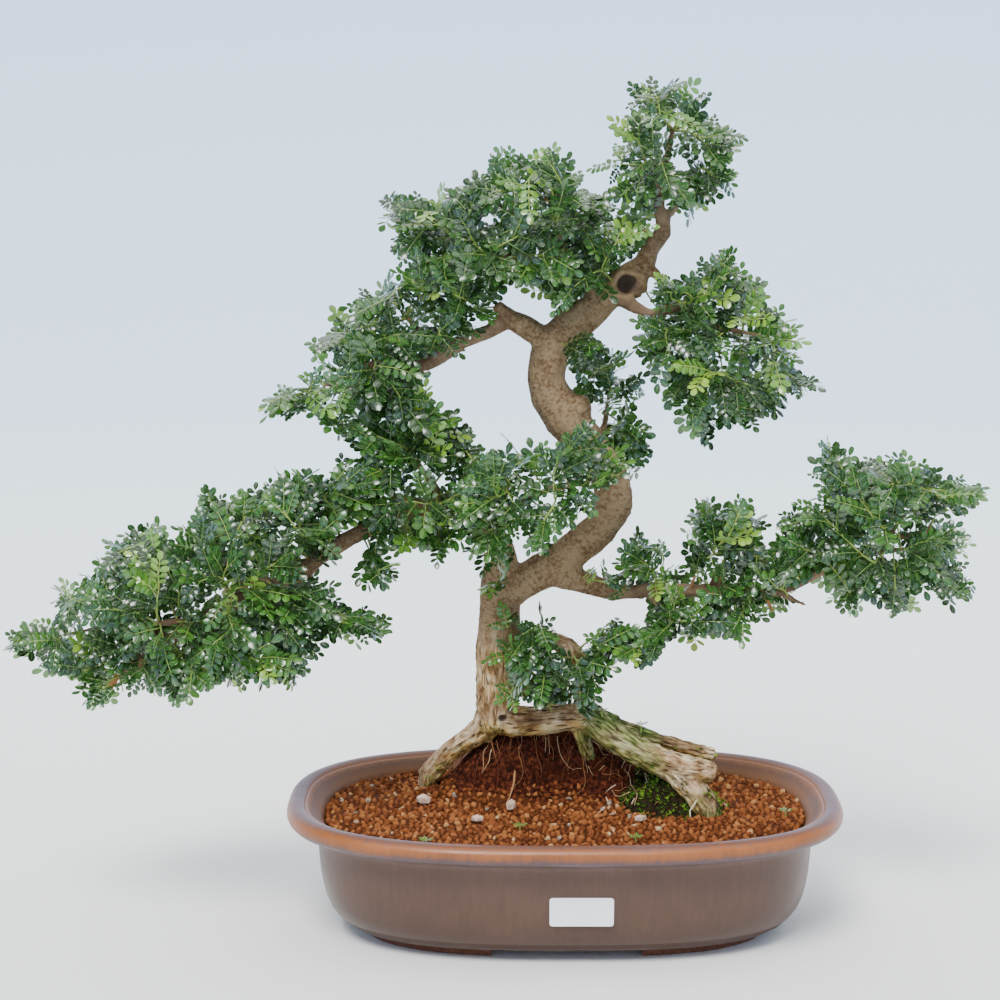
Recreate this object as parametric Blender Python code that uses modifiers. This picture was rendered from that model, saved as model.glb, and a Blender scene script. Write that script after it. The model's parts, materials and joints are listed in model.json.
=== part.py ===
# Chinese pepper bonsai in an oval stoneware pot.
# Tables are in millimetres from the middle of the pot's foot plane: +X right, +Y back, +Z up.
# MM turns them into metres. The last step moves the model so that its box is centred on the Z axis.

import math
import random

import bmesh
import bpy
from mathutils import Matrix, Vector
from mathutils.bvhtree import BVHTree

MM = 0.001
GAP = 0.3
SEED = 27
WELD = 1e-7  # metres: only points that coincide are joined

# Pot: half sizes of the rim, power of the oval (2 is an ellipse, more is squarer), sides of the oval.
RIM_HALF_WIDTH = 214.0
RIM_HALF_DEPTH = 156.0
OVAL_POWER = 2.7
OVAL_SIDES = 36
# The wall's section as (inset from the rim, height), from under the floor, up the outside and down inside.
WALL_LOW = (26.0, 42.0)
WALL_HIGH = (23.5, 76.0)
POT_SECTION = (
    (73, 6), (72, 0), (58, 0), (57, 6), (44, 9), (32, 22), WALL_LOW, WALL_HIGH, (4, 85.5), (0, 91),
    (3, 98), (11, 99.5), (29, 87), (32, 45), (37, 26), (48, 15),
)
FOOT_GAP_FRONT = 113.0
FOOT_GAP_SIDE = 74.0
FOOT_GAP_TOP = 5.6
DRAIN_X = 82.0
DRAIN_RADIUS = 10.0
FLOOR_TOP = 15.0

# Drain screens: square plastic mesh over each drain hole, under the soil.
SCREEN_SIDE = 34.0
SCREEN_THICKNESS = 1.2
SCREEN_HOLES = 2
SCREEN_HOLE_SIDE = 11.0

# Soil: its side follows the inner wall at a small distance, and its top is lumpy with granules.
SOIL_SIDE = ((48.7, 15.4), (37.6, 26.2), (32.5, 45), (29.6, 86))
SOIL_LEVEL = 89.0
SOIL_RINGS = (0.93, 0.85, 0.76, 0.66, 0.55, 0.43, 0.31, 0.19, 0.09)
GRANULE_RELIEF = 1.7
ROOT_BALL = ((-18, 46), (46, 24), 43.0)
MOSS_HUMP = ((84, 8), (28, 15), 10.0)
MOUND_STEEPNESS = 1.6  # 1 is a bell, more has a flatter top and steeper sides
ROOT_HOLE_CLEARANCE = 0.8
ROOT_HOLE_BOTTOM = 64.0

# Label: a blank card on the front wall, leaning as the wall does there.
LABEL_SIZE = (47.0, 22.0, 0.3)
LABEL_X = 10.0
LABEL_Z = 45.0
LABEL_CORNER = 2.2

# Stones lying on the soil: (x, y), half sizes, turn in degrees.
STONES = (
    ((-41, -14), (3.6, 6.5, 5.0), -24),
    ((-67, -46), (5.2, 3.8, 3.2), 10),
    ((57, -48), (5.6, 3.4, 3.0), 35),
    ((-109, 2), (6.8, 5.0, 4.4), -15),
)

# Wood: each limb is a chain of (x, y, z, radius). Chains overlap where one grows out of another.
TRUNK = (
    (-53, 25, 152, 15), (-52, 24, 176, 15.5), (-52, 22, 200, 17), (-50, 18, 233, 16.5),
    (-50, 15, 262, 15.5), (-50, 14, 285, 13.5), (-56, 12, 297, 12.5), (-63, 10, 311, 10),
)
MAIN_LIMB = (
    (-50, 16, 249, 15), (-36, 15, 261, 13.5), (-9, 14, 277, 14.5), (16, 12, 296, 14),
    (33, 10, 314, 14.5), (37, 8, 332, 15.5), (27, 8, 358, 14), (13, 10, 376, 15.5),
    (-2, 12, 395, 17), (-12, 12, 410, 16), (-15, 12, 426, 14.5), (-10, 12, 445, 15),
    (1, 14, 458, 15), (19, 15, 472, 13), (32, 15, 484, 12), (48, 15, 497, 13),
    (59, 14, 508, 9), (64, 12, 519, 7.5), (71, 10, 529, 7), (74, 9, 537, 6.5),
    (71, 8, 548, 5.5), (70, 6, 560, 4.5), (73, 4, 578, 4), (77, 2, 597, 3.2), (80, 0, 612, 2.8),
)
LEFT_BRANCH = (
    (-56, 12, 297, 12), (-63, 10, 311, 10), (-76, 6, 322, 8.5), (-96, 0, 325, 7),
    (-114, -4, 324, 7), (-130, -8, 317, 7.5), (-148, -12, 310, 7), (-167, -16, 301, 7),
    (-188, -20, 288, 7), (-201, -24, 276, 7), (-227, -28, 265, 7), (-254, -32, 254, 6.5),
    (-280, -36, 241, 6), (-297, -38, 231, 6), (-315, -40, 218, 5.5), (-338, -42, 201, 4.8),
)
RIGHT_BRANCH = (
    (-12, 14, 272, 11), (2, 13, 268, 10.5), (24, 12, 261, 8.5), (37, 10, 257, 7), (54, 8, 257, 6),
    (73, 4, 261, 6), (96, 0, 260, 5.5), (119, -4, 261, 5), (149, -8, 260, 4.5),
    (168, -10, 263, 4.5), (190, -12, 274, 4.2), (213, -14, 287, 4), (235, -16, 298, 3.5),
    (257, -18, 305, 3), (276, -20, 309, 2.8),
)
UPPER_LEFT_BRANCH = (
    (-8, 12, 444, 11), (-20, 9, 454, 9.5), (-33, 6, 463, 9), (-45, 3, 467, 7.5), (-57, 0, 459, 6),
    (-72, -4, 454, 6.5), (-89, -8, 445, 6.5), (-99, -10, 438, 6), (-114, -14, 432, 5.5),
    (-127, -18, 433, 4), (-146, -22, 436, 3.2), (-168, -24, 426, 2.8), (-188, -26, 416, 2.6),
)
UPPER_RIGHT_BRANCH = (
    (36, 14, 488, 9), (45, 5, 481, 6), (53, 0, 477, 4.8), (62, -4, 473, 4.2), (74, -8, 474, 4),
    (86, -11, 478, 4), (97, -14, 473, 3.5), (108, -16, 458, 3), (114, -18, 444, 2.8),
)
TOP_BRANCH = (
    (28, 15, 482, 9), (16, 18, 497, 6.5), (4, 20, 511, 6), (-9, 21, 524, 6), (-23, 20, 537, 5),
    (-38, 18, 548, 3.5), (-52, 16, 554, 2.8),
)
SMALL_BRANCHES = (
    ((-40, 4, 464, 8), (-47, 2, 473, 6.5), (-53, 0, 479, 5.5)),
    ((-95, -10, 441, 5), (-108, -4, 455, 4), (-119, 4, 468, 3), (-128, 12, 478, 2.6)),
    ((-84, -8, 447, 4.5), (-92, 8, 458, 3.2), (-98, 22, 468, 2.6)),
    ((10, 19, 504, 5.5), (-12, 8, 508, 4.5), (-38, -4, 513, 4), (-66, -8, 519, 3.2), (-84, -10, 526, 2.6)),
    ((-4, 20, 519, 4.5), (-2, 40, 533, 3.2), (-10, 54, 545, 2.6)),
    ((-20, 20, 534, 4), (-8, 2, 548, 3), (4, -14, 558, 2.6)),
    ((-36, -4, 512, 3.6), (-52, -22, 514, 2.8), (-62, -34, 518, 2.5)),
    ((73, 9, 540, 4.5), (86, 16, 556, 3.2), (98, 22, 572, 2.6)),
    ((71, 5, 565, 3.8), (62, -6, 580, 3), (56, -16, 592, 2.6)),
    ((84, -11, 478, 3.8), (98, 6, 482, 3), (116, 20, 486, 2.6)),
    ((104, -15, 466, 3.2), (124, -26, 462, 2.8), (146, -32, 458, 2.6)),
    ((58, 14, 507, 6.5), (66, 8, 503, 5), (72, 4, 500, 4.5)),
    ((-60, 11, 305, 7), (-40, -14, 325, 5), (-24, -30, 338, 3.8), (-4, -40, 346, 3), (16, -46, 350, 2.6)),
    ((22, 12, 364, 6), (30, 34, 380, 4.2), (34, 50, 398, 3.2), (36, 56, 414, 2.6)),
    ((-92, 1, 325, 5.5), (-100, -10, 342, 4), (-110, -18, 358, 3), (-116, -24, 370, 2.6)),
    ((-126, -7, 318, 5), (-132, 10, 332, 3.6), (-138, 24, 344, 2.6)),
    ((-180, -18, 293, 5), (-190, 2, 300, 3.8), (-200, 22, 308, 2.8)),
    ((-214, -26, 270, 5), (-222, -50, 276, 3.6), (-232, -68, 280, 2.8)),
    ((-240, -30, 259, 5), (-252, -8, 270, 3.8), (-264, 14, 280, 2.8)),
    ((-276, -35, 243, 4.6), (-292, -56, 246, 3.4), (-306, -70, 248, 2.8)),
    ((-300, -38, 229, 4.6), (-322, -26, 236, 3.6), (-346, -18, 236, 3), (-372, -16, 230, 2.6)),
    ((64, 6, 259, 4.5), (74, -10, 248, 3.4), (84, -24, 240, 2.8)),
    ((112, -3, 261, 4.2), (120, 14, 274, 3.2), (128, 26, 286, 2.6)),
    ((160, -9, 262, 4), (172, -28, 258, 3), (182, -40, 256, 2.6)),
    ((206, -14, 283, 3.8), (204, 4, 304, 3), (202, 14, 324, 2.6)),
    ((222, -15, 291, 3.6), (240, -34, 296, 3), (256, -46, 300, 2.6)),
    ((244, -17, 301, 3.2), (256, 4, 312, 2.8), (266, 18, 318, 2.6)),
    ((-2, 12, 396, 14), (9, 9, 399, 11), (17, 6, 402, 8)),
)
ROOTS = (
    ((-52, 26, 168, 15), (-60, 28, 148, 12), (-73, 34, 135, 9.5), (-88, 42, 123, 8.5),
     (-98, 47, 112, 8.5), (-106, 50, 102, 8), (-108, 52, 92, 7.5), (-108, 52, 70, 7)),
    ((-54, 25, 160, 15), (-46, 24, 153, 13), (-34, 22, 151, 12.5), (-11, 18, 154, 11),
     (9, 14, 157, 11), (19, 12, 157, 11.5), (38, 2, 144, 11.5), (66, -10, 131, 11),
     (92, -18, 124, 11), (108, -21, 123, 9.5), (116, -22, 122, 7)),
    ((80, -14, 126, 10), (92, -19, 114, 10.5), (103, -23.5, 103, 10.5), (110, -26, 93, 10),
     (113, -27, 70, 8.5)),
    ((24, 12, 156, 10), (40, 14, 150, 7), (59, 14, 143, 6), (95, 10, 133, 6), (118, 7, 128, 5.5)),
    ((-44, 20, 218, 9), (-28, 18, 218, 7), (-12, 16, 218, 7), (4, 12, 212, 8.5),
     (15, 10, 194, 8.5), (15, 10, 174, 8.5), (17, 12, 158, 9)),
    ((-46, 30, 180, 8), (-26, 40, 172, 5.5), (-12, 38, 165, 5.5), (2, 26, 158, 6)),
    ((12, 14, 154, 8), (15, 19, 136, 6.5), (19, 25, 125, 5.8), (20, 26, 114, 5.2), (20, 26, 78, 4)),
)
ROOT_HOLES = ((-108, 52, 8.2), (-98, 47, 8.2), (104, -24, 9.6), (112, -27, 10.2), (20, 26, 6.2))
KNOT_HOLLOW = ((46, 3, 497), (7.5, 8.5, 7.0))
REMESH_VOXEL = 1.5
WOOD_SHARE = 0.0105

# Foliage: each pad is (name, centre, tips). A spray is one leafy twig that ends at one of the tips.
PADS = (
    ("apex", (76, 4, 580), ((72, 4, 615), (106, -28, 602), (104, 38, 574))),
    ("crown", (-30, 14, 520), ((-104, -14, 544), (-58, 30, 568), (-14, -18, 570), (32, 36, 550),
                               (-50, -62, 520), (-22, 84, 544))),
    ("upper_left", (-110, -6, 446), ((-112, 44, 484), (-160, 6, 462), (-146, -58, 442))),
    ("ledge_left", (-160, -22, 425), ((-206, -24, 408), (-164, -58, 400))),
    ("middle_left", (-108, -8, 336), ((-144, 40, 378), (-96, -46, 374), (-146, -28, 292))),
    ("middle_front", (-16, -30, 338), ((-48, -56, 356), (18, -64, 354))),
    ("behind_trunk", (34, 46, 396), ((46, 78, 418),)),
    ("upper_right", (100, -10, 468), ((112, 44, 496), (158, 4, 452), (140, -58, 420), (98, -14, 404))),
    ("low_left_inner", (-200, -18, 290), ((-202, 48, 334), (-168, -66, 320), (-178, -50, 258))),
    ("low_left_outer", (-280, -30, 250), ((-272, 44, 296), (-328, -8, 280), (-250, -92, 232))),
    ("low_left_tip", (-340, -30, 220), ((-396, -20, 224),)),
    ("right_end", (235, -14, 300), ((204, 36, 342), (246, -48, 338), (283, -16, 322), (274, 28, 274))),
    ("right_low", (100, 0, 262), ((124, 46, 300), (62, -44, 236), (134, -40, 246))),
    ("low_left_front", (-290, -40, 250), ((-272, -62, 290), (-314, -72, 244), (-336, -44, 186))),
    ("arch", (-30, 0, 200), ((-14, -32, 200),)),
)
TWIG_RADIUS = 1.5
TWIG_TIP_RADIUS = 0.9
TWIG_LIFT = 0.3  # share of the twig that leaves the wood squarely
TIP_PLAY = 4.0

# One compound leaf: a stalk, opposite pairs of leaflets and one at the end, arched along and cupped across.
LEAF_PAIRS = (1, 2, 2)  # pairs of leaflets on a spray's leaves, from its foot to its tip
FIRST_LEAF = 0.35  # share of the twig below its first leaf
LEAF_STALK = 8.0
LEAFLET_STEP = 8.4
LEAFLET_LENGTH = 12.5
LEAFLET_HALF_WIDTH = 3.7
LEAFLET_WIDEST = 0.57  # share of a leaflet's length at its widest place
RIB_HALF_WIDTH = 0.8
LEAF_ARCH = 0.0035
LEAF_CUP = 0.10
BLADE_THICKNESS = 0.7
TRIES = 40  # draws of a twig or leaf before it is left out


def clear_scene():
    for obj in list(bpy.data.objects):
        bpy.data.objects.remove(obj)


def make_collection(name):
    collection = bpy.data.collections.new(name)
    bpy.context.scene.collection.children.link(collection)
    return collection


def finish(name, hex_colour, roughness):
    """A material with one Principled BSDF. hex_colour is sRGB."""
    material = bpy.data.materials.new(name)
    material.use_nodes = True
    shader = material.node_tree.nodes["Principled BSDF"]
    channels = [int(hex_colour[i : i + 2], 16) / 255 for i in (0, 2, 4)]
    linear = [c / 12.92 if c < 0.04045 else ((c + 0.055) / 1.055) ** 2.4 for c in channels]
    shader.inputs["Base Color"].default_value = (*linear, 1)
    shader.inputs["Roughness"].default_value = roughness
    shader.inputs["Metallic"].default_value = 0
    return material


def add_object(name, mesh, collection, material=None):
    obj = bpy.data.objects.new(name, mesh)
    collection.objects.link(obj)
    if material:
        mesh.materials.clear()
        mesh.materials.append(material)
    return obj


def as_helper(obj):
    obj.hide_render = True
    obj.display_type = "WIRE"
    return obj


def evaluated_mesh(obj):
    """The mesh of an object with its modifiers applied, in world space, with its seams welded."""
    bpy.context.view_layer.update()
    graph = bpy.context.evaluated_depsgraph_get()
    mesh = bpy.data.meshes.new_from_object(obj.evaluated_get(graph))
    mesh.transform(obj.matrix_world)
    bm = bmesh.new()
    bm.from_mesh(mesh)
    bmesh.ops.remove_doubles(bm, verts=bm.verts, dist=WELD)
    bm.to_mesh(mesh)
    bm.free()
    return mesh


def replace_mesh(obj):
    """Applies an object's modifiers."""
    mesh = evaluated_mesh(obj)
    obj.modifiers.clear()
    obj.data = mesh


def boolean(obj, other, operation, solver="EXACT"):
    modifier = obj.modifiers.new(operation.title(), "BOOLEAN")
    modifier.operation = operation
    modifier.solver = solver
    if isinstance(other, bpy.types.Collection):
        modifier.operand_type = "COLLECTION"
        modifier.collection = other
    else:
        modifier.object = other
    return modifier


def bvh_of(mesh):
    bm = bmesh.new()
    bm.from_mesh(mesh)
    tree = BVHTree.FromBMesh(bm)
    bm.free()
    return tree


def oval_ring(inset, height, share=1.0):
    """Points of the pot's oval, pulled in by inset and scaled by share, in metres."""
    ring = []
    for i in range(OVAL_SIDES):
        turn = 2 * math.pi * i / OVAL_SIDES
        c, s = math.cos(turn), math.sin(turn)
        x = (RIM_HALF_WIDTH - inset) * share * math.copysign(abs(c) ** (2 / OVAL_POWER), c)
        y = (RIM_HALF_DEPTH - inset) * share * math.copysign(abs(s) ** (2 / OVAL_POWER), s)
        ring.append(Vector((x, y, height)) * MM)
    return ring


def loft(name, rings, collection, material, tip=None):
    """A closed solid through rings of equal count: flat at its first ring, flat or pointed at its last."""
    bm = bmesh.new()
    loops = [[bm.verts.new(point) for point in ring] for ring in rings]
    for low, high in zip(loops, loops[1:]):
        for i in range(OVAL_SIDES):
            j = (i + 1) % OVAL_SIDES
            bm.faces.new((low[i], low[j], high[j], high[i]))
    bm.faces.new(loops[0][::-1])
    if tip is None:
        bm.faces.new(loops[-1])
    else:
        centre = bm.verts.new(tip)
        for i in range(OVAL_SIDES):
            bm.faces.new((loops[-1][i], loops[-1][(i + 1) % OVAL_SIDES], centre))
    bmesh.ops.recalc_face_normals(bm, faces=bm.faces)
    mesh = bpy.data.meshes.new(name)
    bm.to_mesh(mesh)
    bm.free()
    return add_object(name, mesh, collection, material)


def box(name, centre, size, collection, turn=None):
    bm = bmesh.new()
    bmesh.ops.create_cube(bm, size=1)
    bmesh.ops.scale(bm, vec=Vector(size) * MM, verts=bm.verts)
    if turn:
        bmesh.ops.transform(bm, matrix=turn, verts=bm.verts)
    bmesh.ops.translate(bm, vec=Vector(centre) * MM, verts=bm.verts)
    mesh = bpy.data.meshes.new(name)
    bm.to_mesh(mesh)
    bm.free()
    return add_object(name, mesh, collection)


def upright_cylinder(name, x, y, bottom, top, radius, sides, collection):
    bm = bmesh.new()
    size = {"radius1": radius * MM, "radius2": radius * MM, "depth": (top - bottom) * MM}
    bmesh.ops.create_cone(bm, cap_ends=True, segments=sides, **size)
    bmesh.ops.translate(bm, vec=Vector((x, y, (top + bottom) / 2)) * MM, verts=bm.verts)
    mesh = bpy.data.meshes.new(name)
    bm.to_mesh(mesh)
    bm.free()
    return add_object(name, mesh, collection)


def ellipsoid(name, centre, half_sizes, turn, subdivisions, collection):
    bm = bmesh.new()
    bmesh.ops.create_icosphere(bm, subdivisions=subdivisions, radius=1)
    bmesh.ops.scale(bm, vec=Vector(half_sizes) * MM, verts=bm.verts)
    bmesh.ops.rotate(bm, matrix=Matrix.Rotation(math.radians(turn), 3, "Z"), verts=bm.verts)
    bmesh.ops.translate(bm, vec=Vector(centre) * MM, verts=bm.verts)
    mesh = bpy.data.meshes.new(name)
    bm.to_mesh(mesh)
    bm.free()
    return add_object(name, mesh, collection)


def cut(obj, cutters):
    """Cuts every object of a list out of obj, and applies the cuts."""
    for cutter in cutters:
        boolean(obj, as_helper(cutter), "DIFFERENCE")
    replace_mesh(obj)


def build_pot(parts, cutters, glaze):
    """The oval bowl on a foot ring, which four gaps turn into corner feet, with two drain holes."""
    pot = loft("pot", [oval_ring(*point) for point in POT_SECTION], parts, glaze)
    long_gap = (FOOT_GAP_FRONT, 2.2 * RIM_HALF_DEPTH, FOOT_GAP_TOP + 4)
    side_gap = (2.2 * RIM_HALF_WIDTH, FOOT_GAP_SIDE, FOOT_GAP_TOP + 4)
    gap_middle = (0, 0, FOOT_GAP_TOP / 2 - 2)
    tools = [
        box("foot_gap_long", gap_middle, long_gap, cutters),
        box("foot_gap_side", gap_middle, side_gap, cutters),
    ]
    for x in (-DRAIN_X, DRAIN_X):
        tools.append(upright_cylinder("drain_cutter", x, 0, -5, FLOOR_TOP + 5, DRAIN_RADIUS, 16, cutters))
    cut(pot, tools)
    return pot


def build_screen(name, x, parts, cutters, plastic):
    """A square of plastic mesh that lies over one drain hole."""
    middle = (x, 0, FLOOR_TOP + GAP + SCREEN_THICKNESS / 2)
    screen = box(name, middle, (SCREEN_SIDE, SCREEN_SIDE, SCREEN_THICKNESS), parts)
    screen.data.materials.append(plastic)
    pitch = SCREEN_SIDE / SCREEN_HOLES
    tools = []
    for i in range(SCREEN_HOLES):
        for j in range(SCREEN_HOLES):
            centre = (x + (i - 0.5) * pitch, (j - 0.5) * pitch, FLOOR_TOP)
            tools.append(box("mesh_cutter", centre, (SCREEN_HOLE_SIDE, SCREEN_HOLE_SIDE, 9), cutters))
    cut(screen, tools)
    return screen


def soil_height(x, y):
    """Height of the soil without its granules: level, with the root ball and the mossy hump."""
    height = SOIL_LEVEL
    for (cx, cy), (sx, sy), rise in (ROOT_BALL, MOSS_HUMP):
        away = (((x - cx) / sx) ** 2 + ((y - cy) / sy) ** 2) / 2
        height += rise * math.exp(-(away**MOUND_STEEPNESS))
    return height


def build_soil(parts, cutters, clay):
    """The bed of granules, with plain holes for the roots and pockets over the drain screens."""
    draw = random.Random(SEED)
    rings = [oval_ring(*point) for point in SOIL_SIDE]
    for share in SOIL_RINGS:
        ring = oval_ring(SOIL_SIDE[-1][0], 0, share)
        for point in ring:
            relief = draw.uniform(-GRANULE_RELIEF, GRANULE_RELIEF)
            point.z = (soil_height(point.x / MM, point.y / MM) + relief) * MM
        rings.append(ring)
    tip = Vector((0, 0, soil_height(0, 0))) * MM
    soil = loft("soil", rings, parts, clay, tip)
    tools = []
    for x, y, radius in ROOT_HOLES:
        hole_radius = radius + ROOT_HOLE_CLEARANCE
        tools.append(upright_cylinder("root_hole", x, y, ROOT_HOLE_BOTTOM, 150, hole_radius, 14, cutters))
    for x in (-DRAIN_X, DRAIN_X):
        pocket = (SCREEN_SIDE + 2 * GAP, SCREEN_SIDE + 2 * GAP, 2 * (SCREEN_THICKNESS + 2 * GAP))
        tools.append(box("screen_pocket", (x, 0, FLOOR_TOP), pocket, cutters))
    cut(soil, tools)
    return soil


def limb_curve(name, chain, collection, smooth=True, sides=2):
    """A tapered tube through the points of a chain, as a curve with a round bevel."""
    curve = bpy.data.curves.new(name, "CURVE")
    curve.dimensions = "3D"
    curve.bevel_depth = MM
    curve.bevel_resolution = sides
    curve.use_fill_caps = True
    curve.resolution_u = 4
    spline = curve.splines.new("BEZIER" if smooth else "POLY")
    points = spline.bezier_points if smooth else spline.points
    points.add(len(chain) - 1)
    for point, (x, y, z, radius) in zip(points, chain):
        place = Vector((x, y, z)) * MM
        point.co = place if smooth else (*place, 1)
        point.radius = radius
        if smooth:
            point.handle_left_type = "AUTO"
            point.handle_right_type = "AUTO"
    return add_object(name, curve, collection)


def mesh_from_curve(obj):
    mesh = evaluated_mesh(obj)
    bpy.data.objects.remove(obj)
    return mesh


def build_trunk(parts, cutters, bark):
    """All the grown wood as one skin: the limbs' tubes are merged, smoothed and thinned out."""
    bm = bmesh.new()
    upper_branches = (UPPER_LEFT_BRANCH, UPPER_RIGHT_BRANCH, TOP_BRANCH)
    for chain in (TRUNK, MAIN_LIMB, LEFT_BRANCH, RIGHT_BRANCH, *upper_branches, *SMALL_BRANCHES, *ROOTS):
        mesh = mesh_from_curve(limb_curve("limb", chain, parts, sides=3))
        bm.from_mesh(mesh)
        bpy.data.meshes.remove(mesh)
    merged = bpy.data.meshes.new("trunk")
    bm.to_mesh(merged)
    bm.free()
    trunk = add_object("trunk", merged, parts, bark)
    remesh = trunk.modifiers.new("Remesh", "REMESH")
    remesh.mode = "VOXEL"
    remesh.voxel_size = REMESH_VOXEL * MM
    smooth = trunk.modifiers.new("Smooth", "SMOOTH")
    smooth.factor = 0.5
    smooth.iterations = 4
    boolean(trunk, as_helper(ellipsoid("knot_cutter", *KNOT_HOLLOW, 0, 2, cutters)), "DIFFERENCE")
    decimate = trunk.modifiers.new("Decimate", "DECIMATE")
    decimate.ratio = WOOD_SHARE
    replace_mesh(trunk)
    return trunk


def blade_mesh(pairs, draw):
    """One compound leaf as a single thin arched blade along +X, its leaflets cut to the rib."""
    bm = bmesh.new()
    arch = LEAF_ARCH * draw.uniform(0.8, 1.6)
    size = draw.uniform(0.88, 1.06)

    def vert(x, y):
        return bm.verts.new(Vector((x, y, LEAF_CUP * abs(y) - arch * x * x)) * size * MM)

    stations = [0.0] + [LEAF_STALK + LEAFLET_STEP * i for i in range(pairs + 1)]
    rib = {side: [vert(x, side * RIB_HALF_WIDTH) for x in stations] for side in (1, -1)}
    for i in range(len(stations) - 1):
        bm.faces.new((rib[-1][i], rib[-1][i + 1], rib[1][i + 1], rib[1][i]))
    for side in (1, -1):
        for i in range(1, len(stations) - 1):
            middle = (stations[i] + stations[i + 1]) / 2 + 0.4 * LEAFLET_HALF_WIDTH
            length = LEAFLET_LENGTH * draw.uniform(0.85, 1.05)
            near = vert(middle - LEAFLET_HALF_WIDTH, side * LEAFLET_WIDEST * length)
            tip = vert(middle + 0.5 * LEAFLET_HALF_WIDTH, side * length)
            far = vert(middle + LEAFLET_HALF_WIDTH, side * LEAFLET_WIDEST * length)
            loop = (rib[side][i], near, tip, far, rib[side][i + 1])
            bm.faces.new(loop if side < 0 else loop[::-1])
    end = stations[-1]
    right = vert(end + LEAFLET_WIDEST * LEAFLET_LENGTH, -LEAFLET_HALF_WIDTH)
    tip = vert(end + LEAFLET_LENGTH, 0)
    left = vert(end + LEAFLET_WIDEST * LEAFLET_LENGTH, LEAFLET_HALF_WIDTH)
    bm.faces.new((rib[-1][-1], right, tip, left, rib[1][-1]))
    bmesh.ops.triangulate(bm, faces=bm.faces)
    bmesh.ops.recalc_face_normals(bm, faces=bm.faces)
    bmesh.ops.solidify(bm, geom=bm.faces[:], thickness=BLADE_THICKNESS * MM)
    bmesh.ops.recalc_face_normals(bm, faces=bm.faces)
    mesh = bpy.data.meshes.new("leaf")
    bm.to_mesh(mesh)
    bm.free()
    return mesh


def facing(direction, up):
    """A turn that lays a leaf's X along direction with its upper face towards up."""
    x = direction.normalized()
    y = up.cross(x).normalized()
    return Matrix((x, y, x.cross(y))).transposed().to_4x4()


def twig_chain(start, normal, tip):
    """Three stations from just off the wood to the tip, leaving the wood squarely."""
    lift = start + normal * TWIG_LIFT * (tip - start).length
    stations = (start, lift, tip)
    radii = (TWIG_RADIUS, 0.5 * (TWIG_RADIUS + TWIG_TIP_RADIUS), TWIG_TIP_RADIUS)
    return [(*point, radius) for point, radius in zip(stations, radii)]


def crosses(mesh, obstacles):
    tree = bvh_of(mesh)
    return any(tree.overlap(other) for other in obstacles)


def leaf_places(chain, count):
    """(place, direction, side) of each leaf along a twig, the last one at its tip."""
    points = [Vector(station[:3]) for station in chain]
    places = []
    for i in range(count):
        along = FIRST_LEAF + (1 - FIRST_LEAF) * i / (count - 1)
        part = min(len(points) - 2, int(along * (len(points) - 1)))
        share = along * (len(points) - 1) - part
        place = points[part].lerp(points[part + 1], min(share, 0.96))
        places.append((place, (points[part + 1] - points[part]).normalized(), (1, -1)[i % 2]))
    return places


def put_leaf(place, direction, side, pairs, is_last, obstacles, grown, draw):
    """Tries turns for one leaf until it is clear of everything that already stands."""
    for _ in range(TRIES):
        mesh = blade_mesh(pairs, draw)
        up = Vector((draw.uniform(-0.5, 0.5), draw.uniform(-0.6, 0.4), 1))
        across = direction.cross(Vector((0, 0, 1)))
        if across.length < 0.1:
            across = Vector((1, 0, 0))
        across = across.normalized() * side
        spread = Vector([draw.uniform(-0.35, 0.35) for _ in range(3)])
        heading = direction * (1.0 if is_last else 0.5) + across * (0.1 if is_last else 0.9) + spread
        mesh.transform(Matrix.Translation(place * MM) @ facing(heading, up))
        if not crosses(mesh, obstacles + grown):
            return mesh
        bpy.data.meshes.remove(mesh)
    return None


def drop_scraps(mesh):
    """Keeps the largest of a mesh's separate bodies."""
    bm = bmesh.new()
    bm.from_mesh(mesh)
    bodies = []
    unseen = set(bm.faces)
    while unseen:
        body = set()
        to_visit = [unseen.pop()]
        while to_visit:
            face = to_visit.pop()
            body.add(face)
            for neighbour in {other for edge in face.edges for other in edge.link_faces} & unseen:
                unseen.discard(neighbour)
                to_visit.append(neighbour)
        bodies.append(body)
    bodies.sort(key=len)
    scraps = [face for body in bodies[:-1] for face in body]
    bmesh.ops.delete(bm, geom=scraps, context="FACES")
    bm.to_mesh(mesh)
    bm.free()


def unite(name, meshes, parts, material):
    """One body out of a twig and its leaves."""
    pieces = make_collection(name + "_pieces")
    body = add_object(name, meshes[0], parts, material)
    for mesh in meshes[1:]:
        add_object("piece", mesh, pieces)
    boolean(body, pieces, "UNION", solver="MANIFOLD")
    replace_mesh(body)
    drop_scraps(body.data)
    body.data.materials.clear()
    body.data.materials.append(material)
    for obj in list(pieces.objects):
        bpy.data.objects.remove(obj)
    bpy.data.collections.remove(pieces)
    return body


def build_spray(name, centre, tip, wood_tree, obstacles, parts, leaf, draw):
    """One leafy twig from the wood to its tip. It is drawn again until it is clear of its neighbours."""
    for _ in range(TRIES):
        end = tip + Vector([draw.uniform(-TIP_PLAY, TIP_PLAY) for _ in range(3)])
        seat, normal, _, _ = wood_tree.find_nearest(tip.lerp(centre, draw.uniform(0.2, 0.5)) * MM)
        start = seat / MM + normal * (GAP + 0.05)
        chain = twig_chain(start, normal, end)
        twig = mesh_from_curve(limb_curve("twig", chain, parts, smooth=False, sides=0))
        if crosses(twig, obstacles):
            bpy.data.meshes.remove(twig)
            continue
        meshes = [twig]
        grown = []
        places = leaf_places(chain, len(LEAF_PAIRS))
        for pairs, (place, heading, side) in zip(LEAF_PAIRS, places):
            is_last = place == places[-1][0]
            blade = put_leaf(place, heading, side, pairs, is_last, obstacles, grown, draw)
            if blade:
                meshes.append(blade)
                grown.append(bvh_of(blade))
        return unite(name, meshes, parts, leaf)
    return None


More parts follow.
